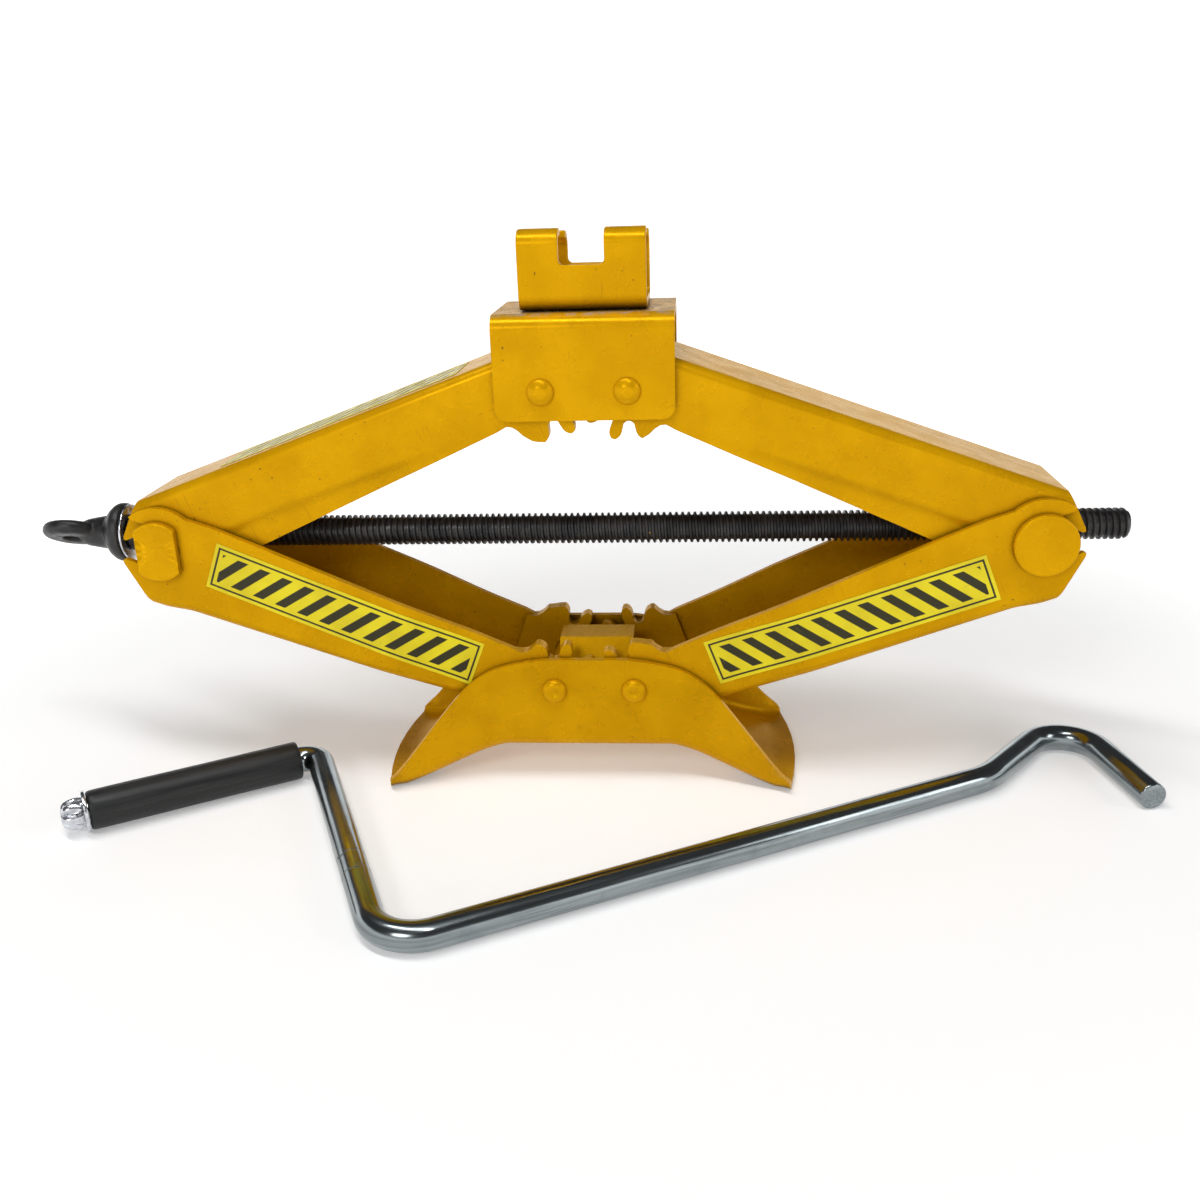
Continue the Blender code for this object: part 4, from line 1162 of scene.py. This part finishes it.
def make_grip(mat):
    end = GRIP_START + GRIP_LENGTH
    inner = ROD_RADIUS + 0.0002
    profile = [(GRIP_START, inner), (GRIP_START, 0.0072), (GRIP_START + 0.0003, 0.0076),
               (GRIP_START + 0.0012, 0.0079), (GRIP_START + 0.0030, 0.0080)]
    profile += [(GRIP_START + GRIP_LENGTH * t, GRIP_RADIUS - 0.00012 * math.sin(math.pi * t))
                for t in (0.2, 0.35, 0.5, 0.65, 0.8)]
    profile += [(end - 0.0022, GRIP_RADIUS), (end - 0.0007, 0.0080), (end - 0.0001, 0.0077), (end, 0.0073),
                (end, inner)]
    turned_piece("grip_sleeve", profile, grip_matrix(), mat, "grip")


def make_grip_washer(mat):
    profile = rounded_bar(0.0086, GRIP_START - 0.0018, GRIP_START - GAP, 0.0004, ROD_RADIUS + 0.0001)
    turned_piece("grip_washer_turned", profile, grip_matrix(), mat, "grip_washer")


# ---- floor, light, view
def make_floor():
    """A pale bowl: flat under the object, rising smoothly far away on every side."""
    flat, rise = 1.30, 0.95
    profile = [(0.0, 0.0), (0.35, 0.0), (0.8, 0.0), (flat, 0.0)]
    for i in range(1, 14):
        angle = math.radians(6 * i)
        profile.append((flat + rise * math.sin(angle), rise - rise * math.cos(angle)))
    bm = bmesh.new()
    rings = [[bm.verts.new((0, 0, 0))]]
    for radius, height in profile[1:]:
        rings.append([bm.verts.new((x, y, height)) for x, y in arc(0, 0, radius, 0, 360, 96)[:-1]])
    skin(bm, rings)
    obj = new_object("floor", bm, Matrix.Translation((0, 0, -0.0002)))
    obj.data.shade_smooth()
    obj.data.materials.append(floor_material())


def add_area(name, location, target, size, power):
    data = bpy.data.lights.new(name, "AREA")
    data.shape = "RECTANGLE"
    data.size, data.size_y = size
    data.energy = power
    obj = bpy.data.objects.new(name, data)
    bpy.context.collection.objects.link(obj)
    obj.location = location
    obj.rotation_mode = "QUATERNION"
    obj.rotation_quaternion = (Vector(target) - Vector(location)).to_track_quat("-Z", "Y")


def make_lights():
    world = bpy.data.worlds.new("studio")
    world.use_nodes = True
    background = world.node_tree.nodes["Background"]
    background.inputs["Color"].default_value = (1.0, 1.0, 1.0, 1.0)
    background.inputs["Strength"].default_value = 0.07
    bpy.context.scene.world = world
    middle = JACK + Vector((0, -0.05, 0.09))
    add_area("top_softbox", JACK + Vector((-0.15, -0.28, 1.15)), middle, (1.1, 0.13), 7.5)
    add_area("front_softbox", JACK + Vector((-0.55, -1.30, 0.95)), middle, (0.6, 0.4), 6.4)
    add_area("right_softbox", JACK + Vector((1.20, -0.50, 0.70)), middle, (0.4, 0.4), 2.2)


def make_camera():
    """The photographed view: slightly from the right and above, with a small roll."""
    pitch, yaw, roll = 0.352, 0.084, -0.033
    forward = Vector((-math.sin(yaw) * math.cos(pitch), math.cos(yaw) * math.cos(pitch), -math.sin(pitch)))
    level = Vector((math.cos(yaw), math.sin(yaw), 0))
    above = level.cross(forward)
    right = math.cos(roll) * level + math.sin(roll) * above
    up = -math.sin(roll) * level + math.cos(roll) * above
    data = bpy.data.cameras.new("camera")
    data.sensor_width = 36.0
    data.lens = 36.0
    data.clip_start = 0.01
    obj = bpy.data.objects.new("camera", data)
    bpy.context.collection.objects.link(obj)
    matrix = Matrix((right, up, -forward)).transposed().to_4x4()
    matrix.translation = JACK + Vector((0.041294, -0.475214, SCREW_Z + 0.143251))
    obj.matrix_world = matrix
    bpy.context.scene.camera = obj
    bpy.context.scene.view_settings.view_transform = "Standard"


# ---- the object
def make_jack(washer_zinc):
    paint = paint_material("amber_enamel")
    cap_paint = paint_material("amber_enamel_cap", (1100.0, 1100.0, 60.0),
                               (CAP_ABOVE - 0.0012, CAP_ABOVE - 0.0001),
                               (CAP_ABOVE - 0.0190, CAP_ABOVE - 0.0045))
    black = black_steel_material()
    make_foot(paint)
    make_spacer(paint)
    for side, word in ((-1, "left"), (1, "right")):
        make_pin("foot_pin_" + word, side, FOOT_PIVOT_Z, False, paint)
        make_pin("cap_pin_" + word, side, CAP_PIVOT_Z, True, paint)
        make_arm("lower_arm_" + word, side, False, paint)
        make_arm("upper_arm_" + word, side, True, paint)
        for face, where in ((-1, "front"), (1, "back")):
            make_gear_plate("lower_gear_" + word + "_" + where, side, False, face * side, paint)
            make_gear_plate("upper_gear_" + word + "_" + where, side, True, -face * side, paint)
    make_cap(cap_paint)
    make_saddle(paint)
    make_saddle_rivet(paint)
    make_trunnion("bearing_trunnion", -1, True, 0.0062, paint)
    make_trunnion("nut_trunnion", 1, False, SCREW_RADIUS + 0.0004, paint)
    make_wall_label("lower_label_left", -1, (-0.0021, 0.0019))
    make_wall_label("lower_label_right", 1, (-0.0014, -0.0057))
    make_web_label("upper_label_left", -1)
    make_screw(black)
    make_eye(black)
    make_thrust_parts(washer_zinc, black)


def make_handle(washer_zinc):
    make_rod(zinc_material())
    make_crimp(washer_zinc)
    make_grip_washer(washer_zinc)
    make_grip(grip_material())


make_camera()
make_lights()
make_floor()
bright_zinc = zinc_washer_material()
make_jack(bright_zinc)
make_handle(bright_zinc)
